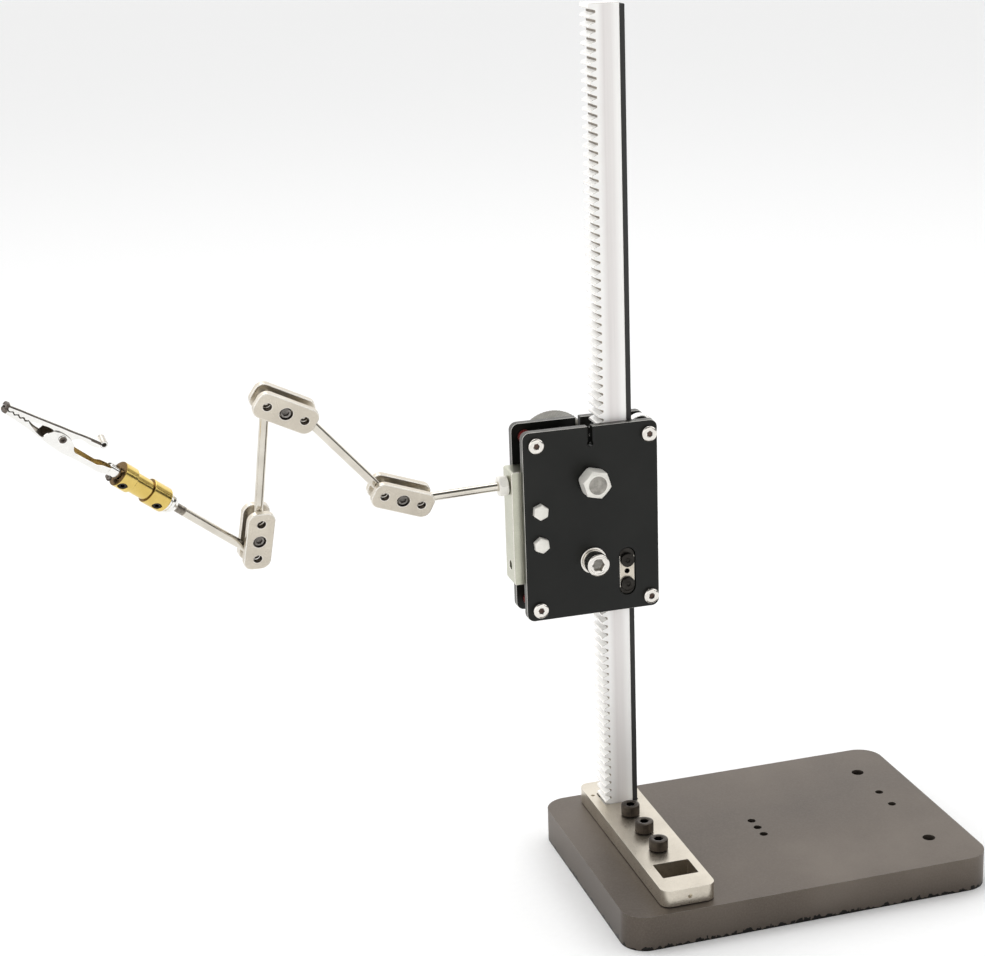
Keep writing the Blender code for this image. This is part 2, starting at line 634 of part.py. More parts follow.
def make_rod(name, start, end, finish, pivot, ball_at_start=True, stop=0.6 * MM):
    """A rod from one ball's centre to the other's, with a solid ball at its start. Its far end sits in
    the loose ball's bore, stop beyond that ball's centre."""
    length = (end - start).length
    if ball_at_start:
        neck = math.pi - math.asin(ROD_R / BALL_R)
        profile = ball_profile(BALL_R, 0.0, neck)
    else:
        profile = [(0, -stop), (ROD_R, -stop)]
    profile += [(ROD_R, length + stop), (0, length + stop)]
    return add(name, turned_mesh(profile, 12), finish["nickel"], rod_frame(start, end), pivot)


def make_joint(index, first, second, front, finish, pivot):
    """Two plates that pinch two balls, and the screw between them. The frame's X runs from ball to ball
    and its Z out of the front plate."""
    along = (second - first).normalized()
    turn = Matrix((along, front.cross(along), front)).transposed().to_4x4()
    frame = Matrix.Translation((first + second) / 2) @ turn
    half_l, half_w, thick = LINK_SIZE[0] / 2, LINK_SIZE[1] / 2, LINK_SIZE[2]
    outline = rounded_rect((-half_l, -half_w), (half_l, half_w), LINK_CORNER, 4)
    holes = [circle(LINK_HOLE_R, 14, (side * BALL_SPACING / 2, 0)) for side in (-1, 1)]
    holes.append(circle(LINK_SCREW_R + FIT_GAP, 12))
    near, far = LINK_GAP / 2, LINK_GAP / 2 + thick
    add(f"joint_{index}_front", prism_mesh(outline, holes, near, far), finish["nickel"], frame, pivot)
    add(f"joint_{index}_rear", prism_mesh(outline, holes, -far, -near), finish["nickel"], frame, pivot)
    profile = [(0, -far), (LINK_SCREW_R, -far), (LINK_SCREW_R, far - 0.4 * MM), (0, far - 0.4 * MM)]
    bolt = add(f"joint_{index}_screw", turned_mesh(profile, 12), finish["black_oxide"], frame, pivot)
    cut(bolt, prism_mesh(hexagon(2 * MM), (), far - 2.2 * MM, far + 1 * MM), frame, pivot)


def make_arm(finish, carriage):
    """The stud in the arm bar, three ball joints, the rods between them and the coupler's rod."""
    balls = ball_centres()
    upper, wrist = plane_axes()
    at_bar = Vector((BAR_X[0], RACK_Y, STUD_Z))
    stud_end = at_bar + stud_axis() * STUD_DEPTH
    make_rod("rod_1", balls[0], stud_end, finish, carriage, ball_at_start=False)
    nut_frame = facing(*(at_bar - stud_axis() * 2 * FIT_GAP), -stud_axis())
    nut = prism_mesh(hexagon(6.8 * MM, 0.2), (circle(ROD_R + 0.1 * MM, 16),), 0, 3.2 * MM)
    add("rod_1_nut", nut, finish["nickel"], nut_frame, carriage)

    parent, rod_from = carriage, stud_end
    for joint, axes in enumerate((upper, upper, wrist)):
        near, far = balls[2 * joint], balls[2 * joint + 1]
        number = joint + 1
        twist = make_pivot(f"pivot_twist_{number}", near, parent)
        make_loose_ball(f"ball_{number}", near, rod_from - near, finish, twist)
        swing = make_pivot(f"pivot_swing_{2 * joint + 1}", near, twist)
        make_joint(number, near, far, axes[2], finish, swing)
        parent = make_pivot(f"pivot_swing_{2 * joint + 2}", far, swing)
        if joint < 2:
            make_rod(f"rod_{number + 1}", far, balls[2 * joint + 2], finish, parent)
        rod_from = far

    tip = heading(wrist, TIP_HEADING)
    make_loose_ball("ball_4", balls[5], tip, finish, parent)
    twist = make_pivot("pivot_twist_4", balls[5], parent)
    rod_end = balls[5] + tip * (COUPLER_START + COUPLER_LENGTH * 0.4)
    make_rod("rod_4", balls[5], rod_end, finish, twist, ball_at_start=False)
    return twist


# ---------------------------------------------------------------- coupler and clip

def tip_frame(distance):
    """A frame on the last rod's line: Z towards the clip's tip, X out of the clip's top, Y across it."""
    wrist = plane_axes()[1]
    direction = heading(wrist, TIP_HEADING)
    spot = ball_centres()[5] + direction * distance
    return facing(*spot, direction, heading(wrist, TIP_HEADING - math.pi / 2))


def make_coupler(finish, pivot):
    """The waisted brass coupler, the ferrule that locks it, and its two set screws."""
    start = tip_frame(COUPLER_START)
    low, high, bore = 0.0, COUPLER_LENGTH, ROD_R + 0.1 * MM
    soft = 0.4 * MM
    profile = [(bore, low), (COUPLER_R - soft, low), (COUPLER_R, low + soft), (COUPLER_R, WAIST[0])]
    profile += [(WAIST_R, WAIST[0]), (WAIST_R, WAIST[1]), (COUPLER_R, WAIST[1])]
    profile += [(COUPLER_R, high - soft), (COUPLER_R - soft, high), (bore, high)]
    coupler = add("coupler", turned_mesh(profile, 16), finish["brass"], start, pivot)
    ferrule = [(bore, -4.2 * MM), (2.5 * MM, -4.2 * MM), (FERRULE_R, -2.2 * MM)]
    ferrule += [(FERRULE_R, -FIT_GAP), (bore, -FIT_GAP)]
    add("coupler_ferrule", turned_mesh(ferrule, 16), finish["chrome"], start, pivot)
    front = plane_axes()[1][2]
    top = start.to_3x3().col[0]
    side = front * 0.9 - top * 0.44
    for index, distance in enumerate(SET_SCREWS):
        centre = start @ Vector((0, 0, distance))
        frame = facing(*centre, side, start.to_3x3().col[2])
        hole = prism_mesh(circle(1.7 * MM, 12), (), ROD_R - 0.5 * MM, COUPLER_R + 1 * MM)
        cut(coupler, hole, frame, pivot)
        plug = [(0, ROD_R + 0.3 * MM), (1.5 * MM, ROD_R + 0.3 * MM), (1.5 * MM, COUPLER_R - 0.3 * MM)]
        plug += [(0, COUPLER_R - 0.3 * MM)]
        made = add(f"coupler_screw_{index + 1}", turned_mesh(plug, 12), finish["black_oxide"], frame, pivot)
        cut(made, prism_mesh(hexagon(1.5 * MM), (), COUPLER_R - 1.3 * MM, COUPLER_R + 1 * MM), frame, pivot)


def jaw_mesh(sections, thick, up):
    """A folded sheet jaw: a channel lofted through sections of (distance, half width, edge height, spine
    height), open towards up. Heights are along the clip's X."""
    mesh = bmesh.new()
    rings = []
    for distance, half, edge, spine in sections:
        inner_spine = spine + up * thick
        inner_half = half - thick
        outline = [(edge, -half), (spine, -half), (spine, half), (edge, half)]
        outline += [(edge, inner_half), (inner_spine, inner_half)]
        outline += [(inner_spine, -inner_half), (edge, -inner_half)]
        rings.append([mesh.verts.new((x, y, distance)) for x, y in outline])
    count = len(rings[0])
    for first, second in zip(rings, rings[1:]):
        for index in range(count):
            following = (index + 1) % count
            mesh.faces.new((first[index], first[following], second[following], second[index]))
    for ring in (rings[0], rings[-1]):
        mesh.faces.new((ring[0], ring[1], ring[6], ring[7]))
        mesh.faces.new((ring[1], ring[2], ring[5], ring[6]))
        mesh.faces.new((ring[2], ring[3], ring[4], ring[5]))
    bmesh.ops.recalc_face_normals(mesh, faces=mesh.faces)
    return mesh


def make_clip(finish, pivot):
    """The crocodile clip: a fixed jaw with a crimped tail, a sprung jaw, the rivet and the coil."""
    frame = tip_frame(CLIP_START)
    thick = 0.5 * MM
    fixed = [
        (3, 1.9, 0.9, -1.7), (7.5, 2.2, 0.3, -2.7), (9.2, 2.3, -0.4, -2.6), (14, 2.6, -0.4, -2.5),
        (18.6, 2.9, -0.5, -2.6), (20.2, 3.05, 1.0, -2.7), (22, 3.1, 2.3, -2.85), (25.6, 3.2, 3.2, -2.65),
        (28.5, 3.15, 2.9, -2.4), (30.6, 3.05, 1.3, -2.15), (31.4, 3.0, -1.2, -2.05), (32.7, 2.85, -1.2, -1.95),
        (35, 2.6, -0.8, -1.75), (37.6, 2.35, 0.25, -1.5), (41, 2.0, 0.2, -1.3), (46.9, 1.4, -0.2, -1.5),
    ]
    sections = [tuple(value * MM for value in row) for row in fixed]
    jaw = add("clip_fixed_jaw", jaw_mesh(sections, thick, 1), finish["chrome"], frame, pivot, smooth=False)
    tail = turned_mesh([(0, -5 * MM), (1.6 * MM, -5 * MM), (1.6 * MM, 4.2 * MM), (0, 4.2 * MM)], 16)
    unite(jaw, tail, frame, pivot)

    middle = frame @ Vector((CLIP_PIVOT[0], 0, CLIP_PIVOT[1]))
    jaw_pivot = make_pivot("pivot_jaw", middle, pivot)
    moving = [
        (CURL[1] / MM, 2.4, 5.3, 7.1), (16, 2.4, 4.2, 6.75), (20, 2.4, 4.5, 6.2), (21.6, 2.4, 3.6, 5.95),
        (23, 2.4, 0.2, 5.75), (28.2, 2.4, 0.2, 5.0), (30, 2.4, 2.4, 4.75), (32, 2.4, 2.5, 4.45),
        (37, 2.3, 0.95, 3.7), (41, 2.0, 0.75, 3.0), (CLIP_LENGTH / MM, 1.5, 0.3, 1.8),
    ]
    sections = [tuple(value * MM for value in row) for row in moving]
    lever = add("clip_moving_jaw", jaw_mesh(sections, thick, -1), finish["chrome"], frame, jaw_pivot, smooth=False)
    curl = facing(*(frame @ Vector((CURL[0], 0, CURL[1]))), frame.to_3x3().col[1])
    unite(lever, prism_mesh(circle(CURL_R, 16), (), -2.4 * MM, 2.4 * MM), curl, jaw_pivot)

    across = facing(*middle, frame.to_3x3().col[1])
    pin = [(0, -3.9 * MM), (1.3 * MM, -3.9 * MM), (1.3 * MM, -3.4 * MM), (0.7 * MM, -3.4 * MM)]
    pin += [(0.7 * MM, 3.4 * MM), (1.3 * MM, 3.4 * MM), (1.3 * MM, 3.9 * MM), (0, 3.9 * MM)]
    add("clip_rivet", turned_mesh(pin, 12), finish["chrome"], across, pivot)
    coil = [(0.9 * MM, -1.3 * MM), (1.6 * MM, -1.3 * MM), (1.6 * MM, 1.3 * MM), (0.9 * MM, 1.3 * MM)]
    add("clip_spring", turned_mesh(coil, 14), finish["black_oxide"], across, pivot)
    for name in ("clip_fixed_jaw", "clip_moving_jaw"):
        item = bpy.data.objects[name]
        hole = prism_mesh(circle(0.8 * MM, 12), (), -5 * MM, 5 * MM)
        cut(item, hole, across, item.parent)


def main():
    """Builds the whole object."""
    clear_scene()
    finish = make_materials()
    make_base(finish)
    make_foot(finish)
    make_rack(finish)
    carriage = make_pivot("pivot_carriage", (ROLLER_X, RACK_Y, DRIVE_Z))
    make_plates(finish, carriage)
    make_corners(finish, carriage)
    make_rollers(finish, carriage)
    make_bar(finish, carriage)
    make_brake(finish, carriage)
    make_drive(finish, carriage)
    make_idler(finish, carriage)
    wrist = make_arm(finish, carriage)
    make_coupler(finish, wrist)
    make_clip(finish, wrist)
    bpy.context.view_layer.update()


main()
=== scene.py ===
"""Studio scene of a rack-and-pinion rigging arm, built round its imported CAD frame.

Everything is in metres in the row frame: +Z up, +X right, -Y towards the user.
"""

import json
import math

import bmesh
import bpy
from mathutils import Matrix, Vector


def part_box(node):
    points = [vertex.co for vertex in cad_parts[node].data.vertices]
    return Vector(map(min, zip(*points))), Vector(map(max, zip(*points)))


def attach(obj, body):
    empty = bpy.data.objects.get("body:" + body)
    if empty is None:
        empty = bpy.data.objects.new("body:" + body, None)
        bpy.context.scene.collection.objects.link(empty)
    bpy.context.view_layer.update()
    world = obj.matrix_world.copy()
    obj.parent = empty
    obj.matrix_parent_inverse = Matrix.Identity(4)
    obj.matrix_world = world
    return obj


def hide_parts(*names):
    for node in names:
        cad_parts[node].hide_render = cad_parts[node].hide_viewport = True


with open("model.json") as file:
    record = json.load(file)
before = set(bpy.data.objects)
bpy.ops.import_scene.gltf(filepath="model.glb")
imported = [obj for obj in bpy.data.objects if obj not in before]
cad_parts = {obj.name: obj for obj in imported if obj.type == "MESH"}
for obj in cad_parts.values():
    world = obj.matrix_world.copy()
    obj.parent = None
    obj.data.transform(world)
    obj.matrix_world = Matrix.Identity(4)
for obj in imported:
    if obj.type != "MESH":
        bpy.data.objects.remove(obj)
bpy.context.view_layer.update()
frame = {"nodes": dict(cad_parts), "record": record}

MM = 0.001
TAU = 2 * math.pi
FRONT = Vector((0, -1, 0))
UP = Vector((0, 0, 1))
NODES = frame["nodes"]
JOINTS = {joint["name"]: joint for joint in frame["record"]["behaviour"]["joints"]}
BODIES = {
    node: body for body, names in frame["record"]["behaviour"]["bodies"].items() for node in names
}


# ---------------- measures taken from the frame

def joint_point(name):
    """Where a joint is, at rest."""
    return Vector(JOINTS[name]["pos_m"])


def joint_axis(name):
    """A joint's axis, as a unit vector."""
    return Vector(JOINTS[name]["axis"]).normalized()


def box(node):
    """A CAD node's lowest and highest corners."""
    low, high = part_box(node)
    return Vector(low), Vector(high)


def middle(node):
    """The middle of a CAD node's box."""
    low, high = box(node)
    return (low + high) / 2


def span(node, origin, direction):
    """How far a CAD node reaches along a direction, measured from origin."""
    reach = [(vert.co - origin).dot(direction) for vert in NODES[node].data.vertices]
    return min(reach), max(reach)


def facing(point, direction, side=UP):
    """A frame at point whose local Z runs along direction and whose local X lies towards side."""
    axis = Vector(direction).normalized()
    across = Vector(side) - axis * Vector(side).dot(axis)
    if across.length < 1e-6:
        across = axis.orthogonal()
    across.normalize()
    turn = Matrix((across, axis.cross(across), axis)).transposed().to_4x4()
    return Matrix.Translation(point) @ turn


STUD = joint_axis("twist_1")

# Local X and Y of this frame are the row's X and Z, and local Z points at the user.
UPRIGHT = Matrix(((1, 0, 0, 0), (0, 0, -1, 0), (0, 1, 0, 0), (0, 0, 0, 1)))


# ---------------- materials

class Nodes:
    """A short way to write a shader's nodes."""

    def __init__(self, name):
        self.material = bpy.data.materials.new(name)
        self.material.use_nodes = True
        self.tree = self.material.node_tree
        self.shader = self.tree.nodes["Principled BSDF"]
        self.position = self.add("ShaderNodeTexCoord").outputs["Object"]

    def add(self, kind, inputs=None, **settings):
        """A node with its settings and its inputs, where an input is a value or another's output."""
        node = self.tree.nodes.new(kind)
        for key, value in settings.items():
            setattr(node, key, value)
        for key, value in (inputs or {}).items():
            if isinstance(value, bpy.types.NodeSocket):
                self.tree.links.new(value, node.inputs[key])
            else:
                node.inputs[key].default_value = value
        return node

    def noise(self, scale, detail, stretch=(1, 1, 1)):
        """Noise with features about 1/scale metres across, stretched along the row's axes."""
        place = self.add("ShaderNodeMapping", {"Vector": self.position, "Scale": stretch})
        inputs = {"Vector": place.outputs[0], "Scale": scale, "Detail": detail}
        return self.add("ShaderNodeTexNoise", inputs).outputs["Fac"]

    def ramp(self, value, stops):
        """A colour ramp over a 0 to 1 value; stops are (place, colour)."""
        node = self.add("ShaderNodeValToRGB", {"Fac": value})
        points = node.color_ramp.elements
        while len(points) < len(stops):
            points.new(0.5)
        for point, (place, colour) in zip(points, stops):
            point.position = place
            point.color = (*colour, 1)
        return node.outputs["Color"]

    def remap(self, value, low, high, new_low, new_high):
        """A value moved from one range to another, clamped."""
        inputs = {"Value": value, "From Min": low, "From Max": high, "To Min": new_low, "To Max": new_high}
        return self.add("ShaderNodeMapRange", inputs).outputs[0]

    def mix(self, factor, first, second):
        """A blend of two colours, each a value or another's output."""
        inputs = {0: factor}
        for index, value in ((6, first), (7, second)):
            inputs[index] = value if isinstance(value, bpy.types.NodeSocket) else (*value, 1)
        return self.add("ShaderNodeMix", inputs, data_type="RGBA").outputs[2]

    def bump(self, height, strength, distance):
        """Surface relief from a height."""
        inputs = {"Height": height, "Strength": strength, "Distance": distance}
        self.link(self.add("ShaderNodeBump", inputs).outputs[0], "Normal")

    def link(self, value, socket):
        """An output into one of the shader's sockets."""
        self.tree.links.new(value, self.shader.inputs[socket])

    def fixed(self, **values):
        """Constant values on the shader's own sockets."""
        for key, value in values.items():
            self.shader.inputs[key].default_value = value


def metal(name, light, dark, rough, relief, blotch=90.0, specks=0.3, share=1.0):
    """A metal: light and dark tones in soft blotches, fine darker specks, and relief in millimetres."""
    make = Nodes(name)
    patches = make.noise(blotch, 4.0)
    fine = make.noise(2600.0, 2.0)
    tone = make.ramp(patches, ((0.3, dark), (0.7, light)))
    shade = make.mix(make.remap(fine, 0.3, 0.7, 0.0, specks), tone, tuple(0.72 * part for part in light))
    make.link(shade, "Base Color")
    make.link(make.remap(fine, 0.3, 0.7, *rough), "Roughness")
    make.bump(fine, 0.5, relief * MM)
    make.fixed(Metallic=share)
    return make.material


def blackened_steel():
    """The base plate: dark brownish oxide, rubbed paler in patches and ragged black at the lower edge."""
    make = Nodes("blackened_steel")
    clouds = make.noise(16.0, 4.0)
    speckle = make.noise(1500.0, 3.0)
    tones = ((0.3, (0.085, 0.069, 0.056)), (0.55, (0.125, 0.104, 0.086)), (0.75, (0.18, 0.154, 0.13)))
    tone = make.ramp(clouds, tones)
    tone = make.mix(make.remap(speckle, 0.4, 0.75, 0.0, 0.22), tone, (0.20, 0.175, 0.15))
    height = make.add("ShaderNodeSeparateXYZ", {"Vector": make.position}).outputs["Z"]
    tone = make.mix(make.remap(height, 2 * MM, 12.5 * MM, 0.25, 0.0), tone, (0.050, 0.042, 0.036))
    ragged = make.noise(420.0, 4.0, (1, 1, 0.6))
    limit = make.remap(ragged, 0.42, 0.72, 0.3 * MM, 2.4 * MM)
    inside = make.add("ShaderNodeMath", {0: height, 1: limit}, operation="LESS_THAN").outputs[0]
    make.link(make.mix(inside, tone, (0.012, 0.011, 0.010)), "Base Color")
    make.link(make.remap(clouds, 0.3, 0.7, 0.34, 0.5), "Roughness")
    make.bump(speckle, 0.3, 0.02 * MM)
    make.fixed(Metallic=0.75)
    return make.material


def rack_steel():
    """The rack's bright drawn face, with a duller stripe along its middle and fine lengthwise lines."""
    make = Nodes("rack_steel")
    low, high = box("rack")
    fine = make.noise(1600.0, 3.0, (1, 1, 0.02))
    cloud = make.noise(14.0, 2.0, (1, 1, 0.4))
    across = make.add("ShaderNodeSeparateXYZ", {"Vector": make.position}).outputs["X"]
    part = make.remap(across, low.x, high.x, 0.0, 1.0)
    levels = ((0.28, 0.0), (0.46, 1.0), (0.72, 0.7), (0.86, 0.0))
    stripe = make.ramp(part, [(place, (level, level, level)) for place, level in levels])
    dull = make.mix(cloud, (0.75, 0.715, 0.70), (0.82, 0.79, 0.775))
    dull = make.mix(make.remap(fine, 0.35, 0.7, 0.0, 0.12), dull, (0.5, 0.48, 0.46))
    make.link(make.mix(stripe, (0.93, 0.92, 0.90), dull), "Base Color")
    make.link(make.remap(fine, 0.3, 0.7, 0.34, 0.44), "Roughness")
    make.bump(fine, 0.15, 0.004 * MM)
    make.fixed(Metallic=0.3)
    return make.material


def anodised(name, colour, paler, rough):
    """A dyed anodised face, with a faint haze and handling marks."""
    make = Nodes(name)
    haze = make.noise(60.0, 4.0)
    fine = make.noise(3200.0, 2.0)
    make.link(make.ramp(haze, ((0.3, colour), (0.75, paler))), "Base Color")
    make.link(make.remap(fine, 0.3, 0.7, *rough), "Roughness")
    make.bump(fine, 0.4, 0.006 * MM)
    make.fixed(Metallic=0.2)
    make.shader.inputs["Specular IOR Level"].default_value = 0.33
    return make.material


def rubber():
    """The strip that the rollers run on: matt black with a faint lengthwise track."""
    make = Nodes("strip_rubber")
    grain = make.noise(1800.0, 3.0, (1, 1, 0.1))
    make.link(make.ramp(grain, ((0.3, (0.012, 0.012, 0.012)), (0.7, (0.028, 0.027, 0.026)))), "Base Color")
    make.link(make.remap(grain, 0.3, 0.7, 0.55, 0.75), "Roughness")
    make.bump(grain, 0.4, 0.02 * MM)
    return make.material


# A metal's relief is in millimetres.
FINISH = {
    "base": blackened_steel(),
    "base_edge": metal("worn_edge", (0.36, 0.34, 0.31), (0.14, 0.13, 0.12), (0.3, 0.5), 0.02, 260.0),
    "nickel": metal("satin_nickel", (0.69, 0.635, 0.54), (0.57, 0.52, 0.44), (0.26, 0.38), 0.006),
    "bar": metal("bar_nickel", (0.57, 0.57, 0.47), (0.50, 0.50, 0.41), (0.28, 0.4), 0.006),
    "nickel_edge": metal("nickel_edge", (0.88, 0.85, 0.79), (0.78, 0.75, 0.69), (0.14, 0.24), 0.003),
    "rack": rack_steel(),
    # Painted shade for the rack's tooth grooves.
    "rack_root": metal("tooth_groove_shade", (0.26, 0.22, 0.17), (0.12, 0.10, 0.08), (0.3, 0.42), 0.006, 200.0),
    "bright": metal("bright_steel", (0.84, 0.81, 0.76), (0.74, 0.71, 0.66), (0.12, 0.22), 0.004),
    "satin": metal("satin_steel", (0.90, 0.88, 0.82), (0.79, 0.77, 0.71), (0.4, 0.55), 0.008,
                   blotch=200.0, specks=0.2, share=0.25),
    # The balls' steel, toned darker as painted shade inside the joint holes; on the clip's rolled loop it
    # paints a grey shaded outline.
    "ball": metal("ball_steel_and_shade", (0.66, 0.62, 0.55), (0.40, 0.37, 0.33), (0.14, 0.24), 0.003, 700.0),
    # Painted shade for the walls round the joints' holes.
    "bore": metal("hole_wall_shade", (0.20, 0.17, 0.145), (0.10, 0.085, 0.07), (0.3, 0.45), 0.006, 300.0),
    "cut_end": metal("bolt_face", (0.44, 0.42, 0.38), (0.24, 0.23, 0.21), (0.4, 0.6), 0.02, 500.0),
    # Painted shade for the corner screws' sockets.
    "pit": metal("screw_socket_shade", (0.16, 0.11, 0.09), (0.07, 0.05, 0.045), (0.35, 0.5), 0.01, 300.0),
    "black": anodised("black_anodised", (0.004, 0.0045, 0.0035), (0.008, 0.0085, 0.007), (0.3, 0.42)),
    "plate_edge": metal("bare_edge", (0.70, 0.69, 0.65), (0.5, 0.49, 0.46), (0.28, 0.42), 0.008, 160.0),
    "plate_side": metal("dull_edge", (0.15, 0.145, 0.135), (0.07, 0.068, 0.062), (0.35, 0.5), 0.008, 160.0),
    # Black oxide, the screws' own finish; on the friction shoe's ends and hole and in the foot screws' sockets
    # it is painted shade.
    "oxide": metal("black_oxide", (0.045, 0.042, 0.038), (0.022, 0.020, 0.018), (0.28, 0.45), 0.01, 400.0),
    "blued": metal("blued_screw", (0.095, 0.080, 0.066), (0.045, 0.038, 0.032), (0.28, 0.45), 0.01, 400.0),
    "grey": metal("screw_steel", (0.30, 0.28, 0.26), (0.13, 0.12, 0.11), (0.3, 0.45), 0.01, 500.0),
    "red": anodised("red_anodised", (0.085, 0.006, 0.006), (0.15, 0.012, 0.010), (0.22, 0.34)),
    "knob": metal("knob_steel", (0.25, 0.24, 0.21), (0.17, 0.165, 0.145), (0.34, 0.5), 0.01, 200.0),
    "brass": metal("turned_brass", (0.80, 0.61, 0.20), (0.64, 0.46, 0.12), (0.12, 0.2), 0.005, 120.0),
    # A darker brass for the coupler's faces across its axis.
    "bronze": metal("dark_brass_faces", (0.20, 0.12, 0.045), (0.10, 0.06, 0.02), (0.2, 0.35), 0.005, 200.0),
    "chrome": metal("bright_plate", (0.93, 0.92, 0.89), (0.86, 0.85, 0.82), (0.07, 0.15), 0.002, 150.0),
    # Painted shade for the clip's dark lines, nose, curl and rivet.
    "shade": metal("painted_shade_plate", (0.17, 0.145, 0.125), (0.08, 0.068, 0.06), (0.25, 0.4), 0.006, 400.0),
    # Painted shade, lighter, for the clip's insides.
    "inner": metal("inner_face_shade", (0.42, 0.37, 0.31), (0.20, 0.175, 0.145), (0.3, 0.45), 0.006, 400.0),
    "trough": metal("yellow_plate", (0.78, 0.66, 0.40), (0.46, 0.37, 0.21), (0.2, 0.35), 0.006, 300.0),
    "rod": metal("polished_rod", (0.74, 0.70, 0.62), (0.62, 0.58, 0.51), (0.1, 0.17), 0.003, 120.0),
    "thread": metal("rolled_thread", (0.40, 0.36, 0.30), (0.16, 0.14, 0.12), (0.25, 0.4), 0.01, 600.0),
    "rubber": rubber(),
}


# ---------------- shapes

def circle(radius, count, centre=(0.0, 0.0)):
    """Points round a circle, anticlockwise."""
    points = []
    for index in range(count):
        angle = TAU * index / count
        points.append((centre[0] + radius * math.cos(angle), centre[1] + radius * math.sin(angle)))
    return points


def arc(centre, radius, start, sweep, steps):
    """Points along an arc with both its ends, anticlockwise where the sweep is positive."""
    points = []
    for step in range(steps + 1):
        angle = start + sweep * step / steps
        points.append((centre[0] + radius * math.cos(angle), centre[1] + radius * math.sin(angle)))
    return points


def rounded_rect(low, high, radius, steps):
    """A rectangle with round corners, anticlockwise from its right-hand side."""
    left, right = low[0] + radius, high[0] - radius
    bottom, top = low[1] + radius, high[1] - radius
    points = []
    for quarter, centre in enumerate(((right, top), (left, top), (left, bottom), (right, bottom))):
        points += arc(centre, radius, math.pi / 2 * quarter, math.pi / 2, steps)
    return points


def stadium(width, height, centre):
    """An upright slot with round ends."""
    radius = width / 2
    points = []
    for end, start in ((1, 0.0), (-1, math.pi)):
        points += arc((centre[0], centre[1] + end * (height / 2 - radius)), radius, start, math.pi, 18)
    return points


def hexed(across_flats):
    """A hexagon's radius at an angle, with a flat at angle zero."""
    def radius(angle, _height):
        return across_flats / 2 / math.cos((angle + math.pi / 6) % (math.pi / 3) - math.pi / 6)
    return radius


def least(shape, limit):
    """A shape's radius, held under a limit."""
    def radius(angle, height):
        return min(shape(angle, height), limit)
    return radius


def knurled(full, count, depth):
    """A straight knurl's radius at an angle."""
    def radius(angle, _height):
        return full - depth * abs((angle * count / TAU) % 1 * 2 - 1)
    return radius


def diamond(full, count, depth, pitch):
    """A diamond knurl's radius: two crossed spirals of grooves."""
    def radius(angle, height):
        cuts = []
        for hand in (1, -1):
            cuts.append(abs((angle * count / TAU + hand * height / pitch) % 1 * 2 - 1))
        return full - depth * max(cuts)
    return radius


def turned(rings, segments, closed=False):
    """Rings of (radius, z) about local Z, where a radius may be a function of angle and height. A radius of
    zero closes an end; closed joins the last ring to the first."""
    mesh = bmesh.new()
    made = []
    for radius, height in rings:
        if not callable(radius) and radius < 1e-9:
            made.append([mesh.verts.new((0, 0, height))])
            continue
        ring = []
        for index in range(segments):
            angle = TAU * index / segments
            reach = radius(angle, height) if callable(radius) else radius
            ring.append(mesh.verts.new((reach * math.cos(angle), reach * math.sin(angle), height)))
        made.append(ring)
    pairs = list(zip(made, made[1:]))
    if closed:
        pairs.append((made[-1], made[0]))
    for first, second in pairs:
        for index in range(segments):
            after = (index + 1) % segments
            quad = [first[index % len(first)], first[after % len(first)]]
            quad += [second[after % len(second)], second[index % len(second)]]
            corners = list(dict.fromkeys(quad))
            if len(corners) > 2:
                mesh.faces.new(corners)
    bmesh.ops.recalc_face_normals(mesh, faces=mesh.faces)
    return mesh


def lathe(points, soft, segments):
    """A ring turned from a closed profile of (radius, z) points. A point of (radius, z, True) is a corner
    that a short arc rounds off, soft from the corner on either side."""
    profile = []
    for index, point in enumerate(points):
        if len(point) < 3:
            profile.append(point)
            continue
        here = Vector(point[:2])
        before = Vector(points[index - 1][:2])
        after = Vector(points[(index + 1) % len(points)][:2])
        start = here + (before - here).normalized() * soft
        end = here + (after - here).normalized() * soft
        for step in range(4):
            part = step / 3
            bend = start * (1 - part) ** 2 + here * 2 * part * (1 - part) + end * part ** 2
            profile.append((bend.x, bend.y))
    return turned(profile, segments, closed=True)


def pin(radius, low, high, segments):
    """A plain cylinder along local Z."""
    return turned([(0, low), (radius, low), (radius, high), (0, high)], segments)


def plate(outline, holes, low, high, rim, blind=()):
    """A flat plate with through holes, blind holes of (loop, floor), and rounded rims of width rim, which
    take the second material."""
    mesh = bmesh.new()

    def ring(points, height):
        return [mesh.verts.new((x, y, height)) for x, y in points]

    def loop_edges(verts):
        return [mesh.edges.new((vert, verts[(index + 1) % len(verts)])) for index, vert in enumerate(verts)]

    through = [outline, *holes]
    bottom = [ring(points, low) for points in through]
    top = [ring(points, high) for points in through]
    pits = [ring(points, high) for points, _ in blind]
    for rings in (bottom, top + pits):
        edges = [edge for verts in rings for edge in loop_edges(verts)]
        bmesh.ops.triangle_fill(mesh, use_beauty=True, use_dissolve=False, edges=edges)
    for first, second in zip(bottom, top):
        skin(mesh, (first, second), capped=False)
    for verts, (points, floor) in zip(pits, blind):
        base = ring(points, floor)
        skin(mesh, (verts, base), capped=False)
        mesh.faces.new(base)
    bmesh.ops.recalc_face_normals(mesh, faces=mesh.faces)
    round_rims(mesh, rim)
    return mesh


def round_rims(mesh, width, segments=3):
    """Rounds every edge that bends sharply, and gives the new faces the second material."""
    sharp = math.radians(40)
    rims = [edge for edge in mesh.edges if edge.is_manifold and edge.calc_face_angle() > sharp]
    bmesh.ops.bevel(mesh, geom=rims, offset=width, offset_type="OFFSET", segments=segments, profile=0.5,
                    affect="EDGES", clamp_overlap=True, material=1)


